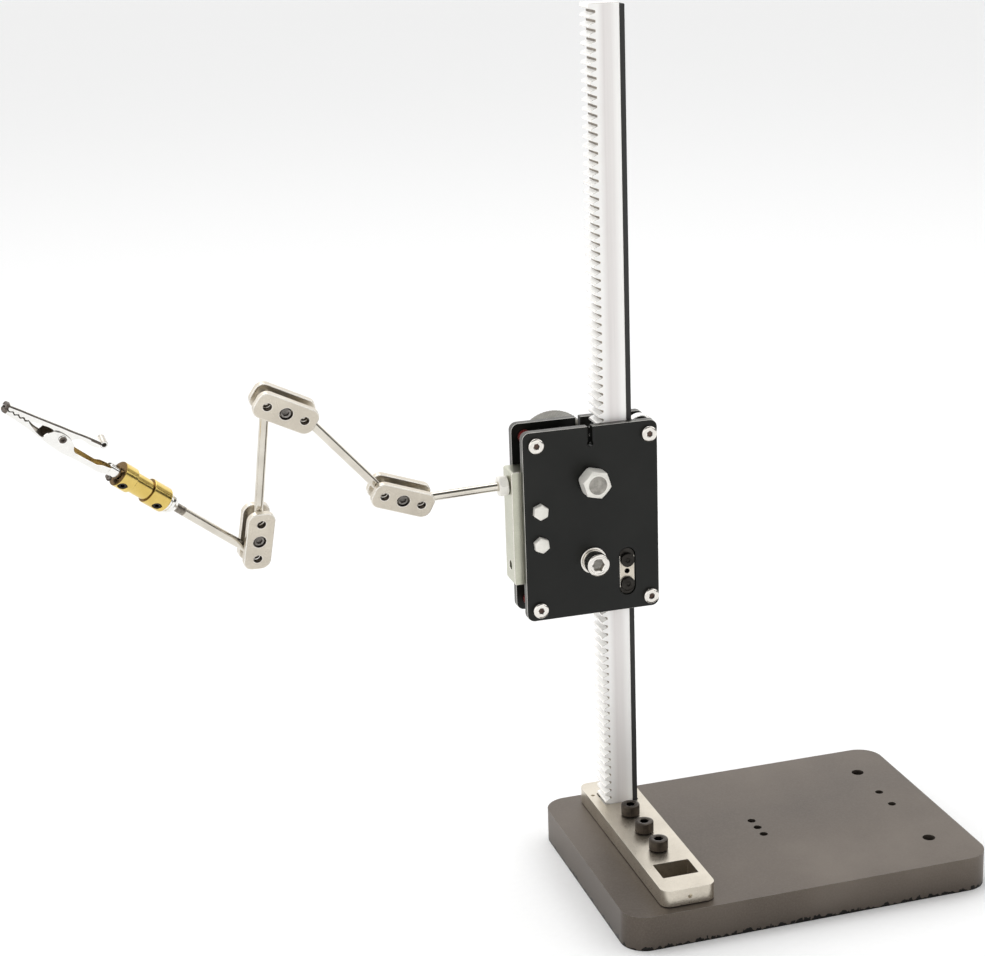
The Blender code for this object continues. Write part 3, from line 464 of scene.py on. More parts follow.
def copy_of(node, width, segments=2):
    """A CAD node's mesh with its flat faces joined up and its edges rounded."""
    mesh = bmesh.new()
    mesh.from_mesh(NODES[node].data)
    bmesh.ops.remove_doubles(mesh, verts=mesh.verts, dist=1e-6)
    bmesh.ops.dissolve_limit(mesh, angle_limit=math.radians(0.5), verts=mesh.verts, edges=mesh.edges)
    for face in mesh.faces:
        face.material_index = 0
    round_rims(mesh, width, segments)
    return mesh


def finish_where(mesh, index, test):
    """Gives the faces that pass test(centre, normal) another of the piece's finishes."""
    mesh.normal_update()
    for face in mesh.faces:
        if test(face.calc_center_median(), face.normal):
            face.material_index = index
    return mesh

def painted(mesh, index):
    """Gives every face another of the piece's finishes."""
    return finish_where(mesh, index, lambda _spot, _normal: True)


def heading(path, index):
    """A path's direction at one of its points, from the point before to the point after."""
    before = Vector(path[max(index - 1, 0)])
    after = Vector(path[min(index + 1, len(path) - 1)])
    return (after - before).normalized()


def skin(mesh, rings, capped=True):
    """Faces from ring to ring of verts and, if capped, over the first and the last ring."""
    size = len(rings[0])
    for first, second in zip(rings, rings[1:]):
        for index in range(size):
            after = (index + 1) % size
            mesh.faces.new((first[index], first[after], second[after], second[index]))
    if capped:
        mesh.faces.new(rings[0])
        mesh.faces.new(rings[-1])
        bmesh.ops.recalc_face_normals(mesh, faces=mesh.faces)


def tube(path, radius, segments):
    """A round wire along a list of points, closed at both ends."""
    mesh = bmesh.new()
    rings = []
    side = (path[1] - path[0]).orthogonal().normalized()
    for index, point in enumerate(path):
        along = heading(path, index)
        side = (side - along * side.dot(along)).normalized()
        other = along.cross(side)
        ring = []
        for step in range(segments):
            angle = TAU * step / segments
            ring.append(mesh.verts.new(point + (side * math.cos(angle) + other * math.sin(angle)) * radius))
        rings.append(ring)
    skin(mesh, rings)
    return mesh


def joined(*meshes):
    """Several bmeshes as one."""
    whole = bmesh.new()
    for mesh in meshes:
        data = bpy.data.meshes.new("part")
        mesh.to_mesh(data)
        mesh.free()
        whole.from_mesh(data)
        bpy.data.meshes.remove(data)
    return whole


def stand_for(node, mesh, finishes, place=Matrix.Identity(4), sharp=35.0):
    """A piece from a bmesh that replaces one CAD node, and rides on its body."""
    mesh.transform(place)
    data = bpy.data.meshes.new("look_" + node)
    mesh.to_mesh(data)
    mesh.free()
    data.shade_smooth()
    data.set_sharp_from_angle(angle=math.radians(sharp))
    for finish in finishes.split():
        data.materials.append(FINISH[finish])
    piece = bpy.data.objects.new("look_" + node, data)
    bpy.context.scene.collection.objects.link(piece)
    soften = piece.modifiers.new("normals", "WEIGHTED_NORMAL")
    soften.keep_sharp = True
    soften.mode = "FACE_AREA"
    body = BODIES[node]
    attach(piece, body)
    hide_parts(node)
    return piece


def carve(piece, cutters):
    """Cuts closed bmeshes, given in the row frame, out of a piece for good."""
    helpers = []
    for cutter in cutters:
        data = bpy.data.meshes.new("cutter")
        cutter.to_mesh(data)
        cutter.free()
        helper = bpy.data.objects.new("cutter", data)
        bpy.context.scene.collection.objects.link(helper)
        helpers.append(helper)
        boolean = piece.modifiers.new("cut", "BOOLEAN")
        boolean.operation = "DIFFERENCE"
        boolean.solver = "EXACT"
        boolean.object = helper
    piece.modifiers.move(piece.modifiers.find("normals"), len(piece.modifiers) - 1)
    bpy.context.view_layer.update()
    graph = bpy.context.evaluated_depsgraph_get()
    result = bpy.data.meshes.new_from_object(piece.evaluated_get(graph))
    piece.modifiers.clear()
    piece.data = result
    for helper in helpers:
        bpy.data.objects.remove(helper, do_unlink=True)


def socket_screw(head_r, head_h, socket, depth, neck_r, neck_l, knurls=0, dome=0.0):
    """A screw with a hex socket. Local Z points out of the head, from the plane that the head sits on."""
    count = knurls * 3 if knurls else 72
    edge = 0.32 * MM
    side = knurled(head_r, knurls, 0.13 * MM) if knurls else head_r
    rings = [(0, -neck_l), (neck_r - edge, -neck_l), (neck_r, -neck_l + edge), (neck_r, 0)]
    rings += [(head_r - edge, 0), (side, edge * 0.6)]
    if dome:
        for step in range(1, 7):
            angle = math.pi / 2 * step / 7
            height = head_h - dome * 0.55 * (1 - math.sin(angle))
            rings.append((head_r - dome * (1 - math.cos(angle)), height))
    else:
        rings += [(side, head_h - edge), (head_r - edge * 0.5, head_h - edge * 0.35)]
        rings.append((head_r - edge * 1.3, head_h))
    mouth = socket / 2 / math.cos(math.pi / 6) + 0.12 * MM
    rings += [(mouth, head_h), (hexed(socket), head_h - 0.14 * MM), (hexed(socket), head_h - depth)]
    rings.append((0, head_h - depth - 0.35 * MM))
    lowest = head_h - depth - 0.5 * MM
    # The socket's faces take the second finish, a darker one: painted shade in the recess.
    return finish_where(turned(rings, count), 1, lambda spot, _normal: (
        spot.xy.length < mouth and lowest < spot.z < head_h - 0.1 * MM))


def hex_prism(across, low, high, top, bottom=0.0, bore=0.0):
    """A hexagon nut or bolt head with turned chamfers; top and bottom are the chamfer circles' radii, as a
    part of the hexagon's corner radius, or 0 for none."""
    corner = across / 2 / math.cos(math.pi / 6)
    shape = hexed(across)
    rise = corner * 0.12
    rings = []
    for limit, start, step in ((bottom, low, 1), (top, high, -1)):
        chamfer = []
        if limit:
            for index in range(5):
                part = index / 4
                reach = corner * (limit + (1 - limit) * part)
                chamfer.append((least(shape, reach), start + step * rise * part))
        else:
            chamfer.append((shape, start))
        rings.append(chamfer)
    profile = rings[0] + rings[1][::-1]
    if bore:
        soft = 0.25 * MM
        start, end = [(bore, low + soft), (bore + soft, low)], [(bore + soft, high), (bore, high - soft)]
        return turned(start + profile + end, 72, closed=True)
    return turned([(0, low), *profile, (0, high)], 72)


# ---------------- base, foot and rack

FOOT_SCREWS = [middle(f"foot_screw_{index}") for index in (1, 2, 3)]
FOOT_HOLE = 2.2 * MM


def build_base():
    """The base plate with its tapped holes and the foot screws' blind ones."""
    low, high = box("base_plate")
    big, small = 2.35 * MM, 1.55 * MM
    row_x, middle_x = high.x - 15.5 * MM, -1 * MM
    holes = [circle(big, 40, (row_x, y)) for y in (30 * MM, -30 * MM)]
    holes += [circle(small, 32, (row_x, y)) for y in (11 * MM, 0.0)]
    pits = [(circle(small, 32, (middle_x, y)), high.z - 9 * MM) for y in (5.8 * MM, 0.0, -5.8 * MM)]
    pits += [(circle(FOOT_HOLE, 24, (spot.x, spot.y)), low.z + 2 * MM) for spot in FOOT_SCREWS]
    outline = rounded_rect(low.xy, high.xy, 9 * MM, 20)
    stand_for("base_plate", plate(outline, holes, low.z, high.z, 0.45 * MM, pits), "base base_edge")


def build_foot():
    """The foot bar: a window round the rack and a spare one, the screws' holes, and two small marks."""
    low, high = box("foot_bar")
    centre = (low + high) / 2
    half_x, half_y, window_x = 13.35 / 2 * MM, 10.6 / 2 * MM, centre.x + 0.425 * MM
    rack_y = middle("rack").y
    holes = [circle(FOOT_HOLE, 32, (spot.x, spot.y)) for spot in FOOT_SCREWS]
    for y in (rack_y, -rack_y):
        corners = (window_x - half_x, y - half_y), (window_x + half_x, y + half_y)
        holes.append(rounded_rect(*corners, 0.5 * MM, 4))
    dot = (circle(0.7 * MM, 20, (centre.x - 8 * MM, rack_y + 4 * MM)), high.z - 1.5 * MM)
    outline = rounded_rect(low.xy, high.xy, 3.5 * MM, 12)
    foot = stand_for("foot_bar", plate(outline, holes, low.z, high.z, 0.4 * MM, [dot]), "nickel nickel_edge")
    dimple = pin(0.8 * MM, -1 * MM, 1 * MM, 24)
    dimple.transform(facing((centre.x, low.y, centre.z), FRONT))
    carve(foot, [dimple])


def build_foot_screws():
    """The three knurled cap screws that hold the foot bar down, each turned its own way."""
    for index, spot in enumerate(FOOT_SCREWS):
        bottom, top = box(f"foot_screw_{index + 1}")
        head_h = 4 * MM
        head = socket_screw((top.x - bottom.x) / 2, head_h, 3 * MM, 2.2 * MM, 1.95 * MM,
                            top.z - head_h - bottom.z, knurls=36)
        turn = Matrix.Rotation(0.5 + 1.9 * index, 4, "Z")
        # The black oxide in the sockets is painted shade.
        stand_for(f"foot_screw_{index + 1}", head, "blued oxide",
                  Matrix.Translation((spot.x, spot.y, top.z - head_h)) @ turn)


def build_rack():
    """The rack with its milled teeth, painted darker in the grooves as shade, and the strip on its back."""
    low, high = box("rack")
    mesh = copy_of("rack", 0.12 * MM)
    # The tooth flanks and roots take a darker finish: painted shade in the grooves between the teeth.
    finish_where(mesh, 2, lambda spot, normal: (
        low.x + 1.3 * MM < spot.x < low.x + 3 * MM and abs(normal.y) < 0.5 and spot.z < high.z - 1 * MM))
    stand_for("rack", mesh, "rack nickel_edge rack_root", sharp=30.0)
    stand_for("rack_strip", copy_of("rack_strip", 0.1 * MM), "rubber rubber")


# ---------------- carriage

PLATE_CORNER = 2.8 * MM
SCREW_HOLE = 1.7 * MM  # clears an M3 screw


def inset(spot, low, high):
    """How far inside a carriage plate's rounded rectangle a point is, in the plate's plane."""
    centre, half = (low + high) / 2, (high - low) / 2
    past = Vector([abs(spot[i] - centre[i]) - half[i] + PLATE_CORNER for i in (0, 1)])
    outside = Vector((max(past.x, 0), max(past.y, 0))).length
    return PLATE_CORNER - outside - min(max(past.x, past.y), 0)


def plate_outline(low, high):
    """A carriage plate with round corners and a keyhole slit in its top edge, in (x, z)."""
    quarter = 12
    points = rounded_rect((low.x, low.z), (high.x, high.z), PLATE_CORNER, quarter)
    slit_x, half, hole = joint_point("drive_turn").x, 0.9 * MM, 1.15 * MM
    bottom = high.z - 6.3 * MM
    start = math.asin(half / hole)
    keyhole = arc((slit_x, bottom), hole, math.pi / 2 - start, 2 * start - TAU, 22)
    slit = [(slit_x + half, high.z), *keyhole, (slit_x - half, high.z)]
    return points[:quarter + 1] + slit + points[quarter + 1:]


def build_screw(node, head_h, socket, depth, dome, finishes, side):
    """A domed socket screw that faces the user, as wide and as long as its CAD node."""
    low, high = box(node)
    spot = middle(node)
    screw = socket_screw((high.x - low.x) / 2, head_h, socket, depth, 1.5 * MM,
                         high.y - low.y - head_h, dome=dome)
    stand_for(node, screw, finishes, facing((spot.x, low.y + head_h, spot.z), FRONT, side))


def screw_holes(stem, count):
    """Holes in (x, z) for the screws stem_1, stem_2 and so on."""
    spots = [middle(f"{stem}_{index + 1}") for index in range(count)]
    return [circle(SCREW_HOLE, 24, (spot.x, spot.z)) for spot in spots]


def shoe_outline(gap):
    """The friction shoe's outline in (x, z), wider by a gap all round."""
    low, high = box("friction_shoe")
    shoe = middle("friction_shoe")
    return stadium(high.x - low.x + 2 * gap, high.z - low.z + 2 * gap, (shoe.x, shoe.z))


def build_plates():
    """The two black plates: the front one has a slot for the friction shoe."""
    shared = screw_holes("corner_screw", 4)
    for name in ("drive_turn", "idler_turn"):
        spot = joint_point(name)
        shared.append(circle(3.08 * MM, 36, (spot.x, spot.z)))
    slot = shoe_outline(0.2 * MM)
    for node, more in (("front_plate", [*screw_holes("bar_bolt", 2), slot]), ("rear_plate", [])):
        low, high = box(node)
        mesh = plate(plate_outline(low, high), shared + more, -high.y, -low.y, 0.3 * MM)
        ends = Vector((low.x, low.z)), Vector((high.x, high.z))
        painted(mesh, 0)
        for index, least_z in ((2, 0.0), (1, 0.2)):
            finish_where(mesh, index, lambda spot, normal, ends=ends, least_z=least_z: (
                least_z <= abs(normal.z) < 0.97 and inset(spot, *ends) < 0.35 * MM))
        stand_for(node, mesh, "black plate_edge plate_side", UPRIGHT)


def build_shoe():
    """The friction shoe in the front plate's slot, bright in the middle with painted shade at its ends and in
    its small hole, and its two screws.
    """
    low, high = box("friction_shoe")
    shoe = middle("friction_shoe")
    small = (circle(0.8 * MM, 24, (shoe.x, shoe.z)), -high.y + 0.4 * MM)
    mesh = plate(shoe_outline(0.0), screw_holes("shoe_screw", 2), -high.y, -low.y, 0.2 * MM, [small])
    # Painted shade: beyond this reach from the middle, and in the small hole, the shoe takes the dark finish to
    # stand for the slot's open ends.
    unshaded_reach = 3.4 * MM
    finish_where(mesh, 2, lambda spot, _normal: abs(spot.y - shoe.z) > unshaded_reach or (
        math.hypot(spot.x - shoe.x, spot.y - shoe.z) < 1 * MM))
    stand_for("friction_shoe", mesh, "nickel nickel_edge oxide", UPRIGHT)
    for index in (1, 2):
        build_screw(f"shoe_screw_{index}", 1.3 * MM, 1.5 * MM, 0.8 * MM, 0.7 * MM, "oxide oxide", (1, 0, index))


def build_corners():
    """The corner screws, the red spacers and the rollers."""
    for index in (1, 2, 3, 4):
        # The pit finish paints the shade in these screws' sockets.
        build_screw(f"corner_screw_{index}", 1.8 * MM, 2 * MM, 1.2 * MM, 1.1 * MM, "bright pit",
                    (1, 0, 0.4 * index))
    for name in ("lower", "upper"):
        node = f"{name}_spacer"
        low, high = box(node)
        outer, bore = (high.x - low.x) / 2, SCREW_HOLE
        length = high.y - low.y
        neck = outer - 0.25 * MM
        rings = [(bore, 0), (outer, 0, True), (outer, 1.6 * MM), (neck, 1.8 * MM)]
        rings += [(neck, length - 1.8 * MM), (outer, length - 1.6 * MM), (outer, length, True), (bore, length)]
        spot = middle(node)
        stand_for(node, lathe(rings, 0.35 * MM, 64), "red", facing((spot.x, high.y, spot.z), FRONT))
        build_roller(name)


def build_roller(name):
    """A ball bearing: a turning outer ring with a shield groove, and a shouldered inner ring."""
    ring, core = f"{name}_roller_ring", f"{name}_roller_core"
    low, high = box(ring)
    centre = (low + high) / 2
    outer, half = (high.x - low.x) / 2, (high.y - low.y) / 2
    inner = 3.5 * MM
    lip, dip = inner + 0.45 * MM, 0.3 * MM
    profile = [(inner, -half + dip), (lip, -half + dip), (lip, -half), (outer, -half, True)]
    profile += [(outer, half, True), (lip, half), (lip, half - dip), (inner, half - dip)]
    stand_for(ring, lathe(profile, 0.3 * MM, 72), "chrome", facing(centre, FRONT))
    low, high = box(core)
    reach = (high.y - low.y) / 2
    race, shoulder, bore = inner - 0.09 * MM, 2.75 * MM, SCREW_HOLE
    profile = [(bore, -reach), (shoulder, -reach, True), (shoulder, -half), (race, -half + dip)]
    profile += [(race, half - dip), (shoulder, half), (shoulder, reach, True), (bore, reach)]
    stand_for(core, lathe(profile, 0.2 * MM, 64), "nickel", facing((low + high) / 2, FRONT))


def build_bar():
    """The arm bar, its two hex bolts and the arm stud's lock nut."""
    stand_for("arm_bar", copy_of("arm_bar", 0.25 * MM, 3), "bar nickel_edge")
    for index in (1, 2):
        node = f"bar_bolt_{index}"
        front = box(node)[0].y
        spot = middle(node)
        head_h, across = 2.4 * MM, 5 * MM
        bolt = joined(hex_prism(across, 0, head_h, top=0.7), pin(1.5 * MM, -12 * MM, 0.5 * MM, 32))
        place = facing((spot.x, front + head_h, spot.z), FRONT, (1, 0, 0.3 + index))
        stand_for(node, bolt, "satin", place)
    start = joint_point("twist_1")
    near, far = span("rod_1_nut", start, STUD)
    nut = hex_prism(6.8 * MM, near, far, bore=SCREW_HOLE, top=0.88, bottom=0.88)
    stand_for("rod_1_nut", nut, "satin", facing(start, STUD, (0, 0.2, 1)))


AXLE_R = 3 * MM
AXLE_BORE = AXLE_R + 0.08 * MM


def build_axles():
    """The two pinions on their axles, each with a washer in front."""
    build_drive_bolt()
    for node in ("drive_washer", "idler_washer"):
        low, high = box(node)
        rim = (high.x - low.x) / 2
        profile = [(radius, -y, True) for radius, y in (
            (AXLE_BORE, high.y), (rim, high.y), (rim, low.y), (AXLE_BORE, low.y))]
        centre = middle(node)
        stand_for(node, lathe(profile, 0.22 * MM, 72), "bright", facing((centre.x, 0, centre.z), FRONT))
    build_idler_axle()
    for node in ("drive_gear", "idler_gear"):
        stand_for(node, copy_of(node, 0.1 * MM), "nickel nickel_edge", sharp=30.0)


def build_drive_bolt():
    """The upper pinion's axle: a bolt with a plain hex head and a round raised face."""
    spot = joint_point("drive_turn")
    low, high = box("drive_bolt")
    front, back = -low.y, -high.y
    head_back = front - 6.8 * MM
    head = hex_prism(9.3 * MM, head_back, front - 0.25 * MM, top=0.8, bottom=0.94)
    neck = head_back + 1 * MM
    shank = turned([(0, back), (AXLE_R - 0.5 * MM, back), (AXLE_R, back + 0.5 * MM), (AXLE_R, neck),
                    (0, neck)], 48)
    rim_r, face_r = 4.15 * MM, 3.35 * MM
    face = turned([(0, front - 1 * MM), (rim_r, front - 1 * MM), (rim_r, front - 0.2 * MM),
                   (rim_r - 0.2 * MM, front), (face_r + 0.1 * MM, front),
                   (face_r, front - 0.12 * MM), (0, front - 0.18 * MM)], 64)
    finish_where(face, 1, lambda spot, normal: spot.xy.length < face_r and normal.z > 0.5)
    place = facing((spot.x, 0, spot.z), FRONT, (1, 0, 0.3))
    stand_for("drive_bolt", joined(head, shank, face), "satin cut_end", place)


def build_idler_axle():
    """The lower pinion's axle: a cap screw in front, with its nut behind the rear plate."""
    centre = middle("idler_nut")
    place = facing((centre.x, 0, centre.z), FRONT, (1, 0, 0.55))
    low, high = box("idler_nut")
    nut = hex_prism(9.8 * MM, -high.y, -low.y, bore=AXLE_BORE, top=0.86, bottom=0.88)
    stand_for("idler_nut", nut, "bright", place)

    low, high = box("idler_axle")
    front, back = -low.y, -high.y
    socket, depth, head_h, head_r = 4 * MM, 2.6 * MM, 5.7 * MM, 4.2 * MM
    mouth = socket / 2 / math.cos(math.pi / 6) + 0.15 * MM
    profile = [(0, back), (AXLE_R - 0.4 * MM, back), (AXLE_R, back + 0.4 * MM), (AXLE_R, front - head_h),
               (head_r - 0.3 * MM, front - head_h), (head_r, front - head_h + 0.3 * MM),
               (head_r, front - 0.5 * MM), (head_r - 0.15 * MM, front - 0.2 * MM), (head_r - 0.5 * MM, front),
               (mouth + 0.7 * MM, front), (mouth + 0.6 * MM, front - 0.1 * MM), (mouth, front - 0.1 * MM),
               (hexed(socket), front - 0.35 * MM), (hexed(socket), front - depth),
               (0, front - depth - 0.9 * MM)]
    mesh = turned(profile, 72)
    floor = front - depth + 0.05 * MM
    finish_where(mesh, 1, lambda spot, _normal: spot.xy.length < mouth and floor - 1.5 * MM < spot.z < floor)
    stand_for("idler_axle", mesh, "bright cut_end", place)


def build_knob():
    """The diamond-knurled hand knob behind the carriage."""
    low, high = box("drive_knob")
    spot = joint_point("drive_turn")
    full = (high.x - low.x) / 2
    front, back, rim = -low.y, -high.y, 12 * MM
    wheel_front = back + rim
    grip = diamond(full, 72, 0.28 * MM, 2.2 * MM)
    hub = 6 * MM
    profile = [(AXLE_BORE, front), (hub - 0.5 * MM, front), (hub, front - 0.5 * MM), (hub, wheel_front)]
    profile += [(full - 2.2 * MM, wheel_front), (full - 1.0 * MM, wheel_front - 0.3 * MM)]
    steps = 26
    for step in range(steps + 1):
        height = wheel_front - 0.9 * MM - (rim - 1.8 * MM) * step / steps
        profile.append((grip, height))
    profile += [(full - 1.0 * MM, back + 0.3 * MM), (full - 2.2 * MM, back), (hub, back + 0.6 * MM),
                (AXLE_BORE, back + 0.6 * MM)]
    stand_for("drive_knob", turned(profile, 288, closed=True), "knob", facing((spot.x, 0, spot.z), FRONT))


# ---------------- arm

BALLS = [joint_point(name) for name in ("twist_1", "swing_2", "twist_2", "swing_4", "twist_3", "twist_4")]
TIP = joint_axis("twist_4")
BALL_R = 2.45 * MM
ROD_R = 1.6 * MM


def ball_rings(stop):
    """A ball's profile from its -Z pole up to the angle stop."""
    rings, steps = [], 28
    for step in range(steps + 1):
        angle = stop * step / steps
        rings.append((BALL_R * math.sin(angle) if step else 0.0, -BALL_R * math.cos(angle)))
    return rings


def build_rod(node, start, direction, ball, thread=None):
    """A polished rod with softened ends; ball says that it starts in one, thread is where it is threaded."""
    low, high = span(node, start, direction)
    soft = 0.3 * MM
    if ball:
        rings = ball_rings(math.pi - math.asin(ROD_R / BALL_R))
    else:
        rings = [(0, low), (ROD_R - soft, low), (ROD_R, low + soft)]
    if thread:
        pitch, crest = 0.7 * MM, ROD_R
        for turn in range(round((thread[1] - thread[0]) / pitch)):
            at = thread[0] + turn * pitch
            rings += [(crest, at), (crest - 0.22 * MM, at + pitch / 2)]
        rings.append((crest, thread[1]))
    rings += [(ROD_R, high - soft), (ROD_R - soft, high), (0, high)]
    mesh = turned(rings, 48)
    in_ball = BALL_R + 0.2 * MM
    finish_where(mesh, 1, lambda spot, _normal: (ball and spot.z < in_ball) or (
        thread and thread[0] < spot.z < thread[1]))
    stand_for(node, mesh, "rod ball" if ball else "rod thread", facing(start, direction, FRONT))


def build_loose_ball(index, centre, direction):
    """A ball with a bore that the rod's end turns in."""
    bore = ROD_R + 0.1 * MM
    rings = ball_rings(math.pi - math.asin(bore / BALL_R) - 0.05)
    rings += [(bore, rings[-1][1] + 0.1 * MM), (bore, -0.9 * MM), (0, -0.9 * MM)]
    stand_for(f"ball_{index}", turned(rings, 48), "ball", facing(centre, direction, FRONT))


def build_joint(index, first, second, front):
    """Two plates that pinch two balls, and the recessed screw between them."""
    along = (second - first).normalized()
    turn = Matrix((along, front.cross(along), front)).transposed().to_4x4()
    centre = (first + second) / 2
    place = Matrix.Translation(centre) @ turn
    reach = (second - first).length / 2
    near, far = span(f"joint_{index}_front", centre, front)
    half_l = span(f"joint_{index}_front", centre, along)[1]
    half_w = span(f"joint_{index}_front", centre, front.cross(along))[1]
    outline = rounded_rect((-half_l, -half_w), (half_l, half_w), 3.4 * MM, 14)
    holes = [circle(1.42 * MM, 40, (side * reach, 0)) for side in (-1, 1)]
    holes.append(circle(2.2 * MM, 40))
    for name, low, high in (("front", near, far), ("rear", -far, -near)):
        mesh = plate(outline, holes, low, high, 0.3 * MM)
        # The walls and chamfers round the holes take the dark bore finish: painted shade in the holes.
        finish_where(mesh, 2, lambda spot, normal: abs(normal.z) < 0.9 and min(
            spot.xy.length - 0.75 * MM, Vector((abs(spot.x) - reach, spot.y)).length) < 1.7 * MM)
        stand_for(f"joint_{index}_{name}", mesh, "nickel nickel_edge bore", place)
    radius, top = 1.95 * MM, far - 0.5 * MM
    edge = 0.25 * MM
    rings = [(0, -far), (radius - edge, -far), (radius, -far + edge), (radius, top - edge)]
    rings += [(radius - edge, top), (1.4 * MM, top), (hexed(2.2 * MM), top - 0.15 * MM)]
    rings += [(hexed(2.2 * MM), top - 1.2 * MM), (0, top - 1.5 * MM)]
    stand_for(f"joint_{index}_screw", turned(rings, 48), "grey", place)


def build_arm():
    """The stud, three ball joints, two rods and the coupler's rod."""
    axes = [joint_axis(name) for name in ("swing_1", "swing_3", "swing_5")]
    build_rod("rod_1", BALLS[0], STUD, False)
    build_rod("rod_2", BALLS[1], (BALLS[2] - BALLS[1]).normalized(), True)
    build_rod("rod_3", BALLS[3], (BALLS[4] - BALLS[3]).normalized(), True)
    ferrule = span("coupler_ferrule", BALLS[5], TIP)[0]
    build_rod("rod_4", BALLS[5], TIP, False, (ferrule - 4.5 * MM, ferrule - 0.6 * MM))
    build_loose_ball(1, BALLS[0], STUD)
    build_loose_ball(2, BALLS[2], BALLS[1] - BALLS[2])
    build_loose_ball(3, BALLS[4], BALLS[3] - BALLS[4])
    build_loose_ball(4, BALLS[5], TIP)
    for index, axis in enumerate(axes):
        build_joint(index + 1, BALLS[2 * index], BALLS[2 * index + 1], axis)


# ---------------- coupler and clip

CLIP_ACROSS = joint_axis("jaw_open")
CLIP_UP = CLIP_ACROSS.cross(TIP)
PIVOT_UP, PIVOT_OUT = 1.6 * MM, 25.6 * MM
CLIP_ORIGIN = joint_point("jaw_open") - CLIP_UP * PIVOT_UP - TIP * PIVOT_OUT
CLIP = Matrix.Translation(CLIP_ORIGIN) @ Matrix((CLIP_UP, CLIP_ACROSS, TIP)).transposed().to_4x4()


def build_coupler():
    """The waisted brass coupler, with two set screws let into its side."""
    low, high = span("coupler", CLIP_ORIGIN, TIP)
    radius, waist, bore = 4.4 * MM, 3.6 * MM, SCREW_HOLE
    start, end = low + 7.6 * MM, low + 14.8 * MM
    rings = [(bore, low + 0.3 * MM), (bore + 0.3 * MM, low), (radius, low, True)]
    rings += [(radius, start, True), (waist, start), (waist, end), (radius, end, True)]
    rings += [(radius, high, True), (bore + 0.3 * MM, high), (bore, high - 0.3 * MM)]
    mesh = lathe(rings, 0.35 * MM, 96)
    # The faces across the axis, at the waist's shoulders and at the clip end, take a darker brass.
    finish_where(mesh, 1, lambda spot, normal: spot.z > high - 0.2 * MM or (
        abs(normal.z) > 0.9 and start - 1 * MM < spot.z < end + 1 * MM))
    coupler = stand_for("coupler", mesh, "brass bronze", CLIP)
    cutters = []
    for index in (1, 2):
        node = f"coupler_screw_{index}"
        centre = CLIP_ORIGIN + TIP * (middle(node) - CLIP_ORIGIN).dot(TIP)
        side = (middle(node) - centre).normalized()
        place = facing(centre, side, TIP)
        inner, outer = span(node, centre, side)
        bit = turned([(0, inner - 0.4 * MM), (1.6 * MM, inner - 0.4 * MM), (1.6 * MM, outer - 0.05 * MM),
                      (1.95 * MM, outer + 0.5 * MM), (0, outer + 0.5 * MM)], 48)
        bit.transform(place)
        cutters.append(bit)
        rings = [(0, inner), (1.2 * MM, inner), (1.5 * MM, inner + 0.3 * MM), (1.5 * MM, outer - 0.2 * MM)]
        rings += [(1.3 * MM, outer), (0.95 * MM, outer), (hexed(1.5 * MM), outer - 0.1 * MM)]
        rings += [(hexed(1.5 * MM), outer - 1.0 * MM), (0, outer - 1.2 * MM)]
        stand_for(node, turned(rings, 48), "oxide", place)
    carve(coupler, cutters)


def build_ferrule():
    """The plated ferrule between the rod and the coupler."""
    low, high = span("coupler_ferrule", CLIP_ORIGIN, TIP)
    bore = SCREW_HOLE
    rings = [(bore, low, True), (2.5 * MM, low, True), (3.8 * MM, low + 2 * MM, True)]
    rings += [(3.8 * MM, high - 0.9 * MM), (3.55 * MM, high - 0.75 * MM), (3.55 * MM, high - 0.55 * MM)]
    rings += [(3.8 * MM, high - 0.4 * MM), (3.8 * MM, high, True), (bore, high)]
    stand_for("coupler_ferrule", lathe(rings, 0.2 * MM, 64), "chrome", CLIP)


def between(rows, distance):
    """The values of the rows either side of a distance, in a straight line. Rows are (distance, values...)."""
    if distance <= rows[0][0]:
        return rows[0][1:]
    for first, second in zip(rows, rows[1:]):
        if distance <= second[0]:
            part = (distance - first[0]) / (second[0] - first[0])
            return tuple(a + (b - a) * part for a, b in zip(first[1:], second[1:]))
    return rows[-1][1:]


def smoothed(rows, distance):
    """The rows' values at a distance, averaged over a short reach so that the line has no corners."""
    reach = 1.2
    samples = [between(rows, distance + reach * step) for step in (-1, -0.5, 0, 0.5, 1)]
    return tuple(sum(values) / len(samples) for values in zip(*samples))


def sheet_jaw(rows, edge, toward, bend):
    """A folded sheet channel lofted along the clip, in millimetres. Rows are (distance, half width, spine
    height); edge(distance) gives the height of the channel's free edges, and toward is the side it opens to."""
    thick, arc, step = 0.45, 5, 0.35
    start, end = rows[0][0], rows[-1][0]
    count = round((end - start) / step)
    mesh = bmesh.new()
    rings = []
    for index in range(count + 1):
        distance = start + (end - start) * index / count
        half, spine = smoothed(rows, distance)
        lip = edge(distance)
        outer, inner = [], []
        for side in (-1, 1):
            turn = []
            for corner in range(arc + 1):
                angle = math.pi / 2 * corner / arc
                for radius, line in ((bend, outer), (bend - thick, inner)):
                    across = half - bend + radius * math.cos(angle)
                    height = spine + toward * (bend - radius * math.sin(angle))
                    turn.append((line, (height, side * across)))
            order = turn if side < 0 else turn[::-1]
            for line, point in order:
                line.append(point)
        outer = [(lip, -half)] + outer + [(lip, half)]
        inner = [(lip, -half + thick)] + inner + [(lip, half - thick)]
        outline = outer + inner[::-1]
        rings.append([mesh.verts.new((x * MM, y * MM, distance * MM)) for x, y in outline])
    skin(mesh, rings, capped=False)
    size = len(rings[0])
    for ring in (rings[0], rings[-1]):
        for index in range(size // 2 - 1):
            mesh.faces.new((ring[index], ring[index + 1], ring[size - 2 - index], ring[size - 1 - index]))
    bmesh.ops.recalc_face_normals(mesh, faces=mesh.faces)
    return mesh


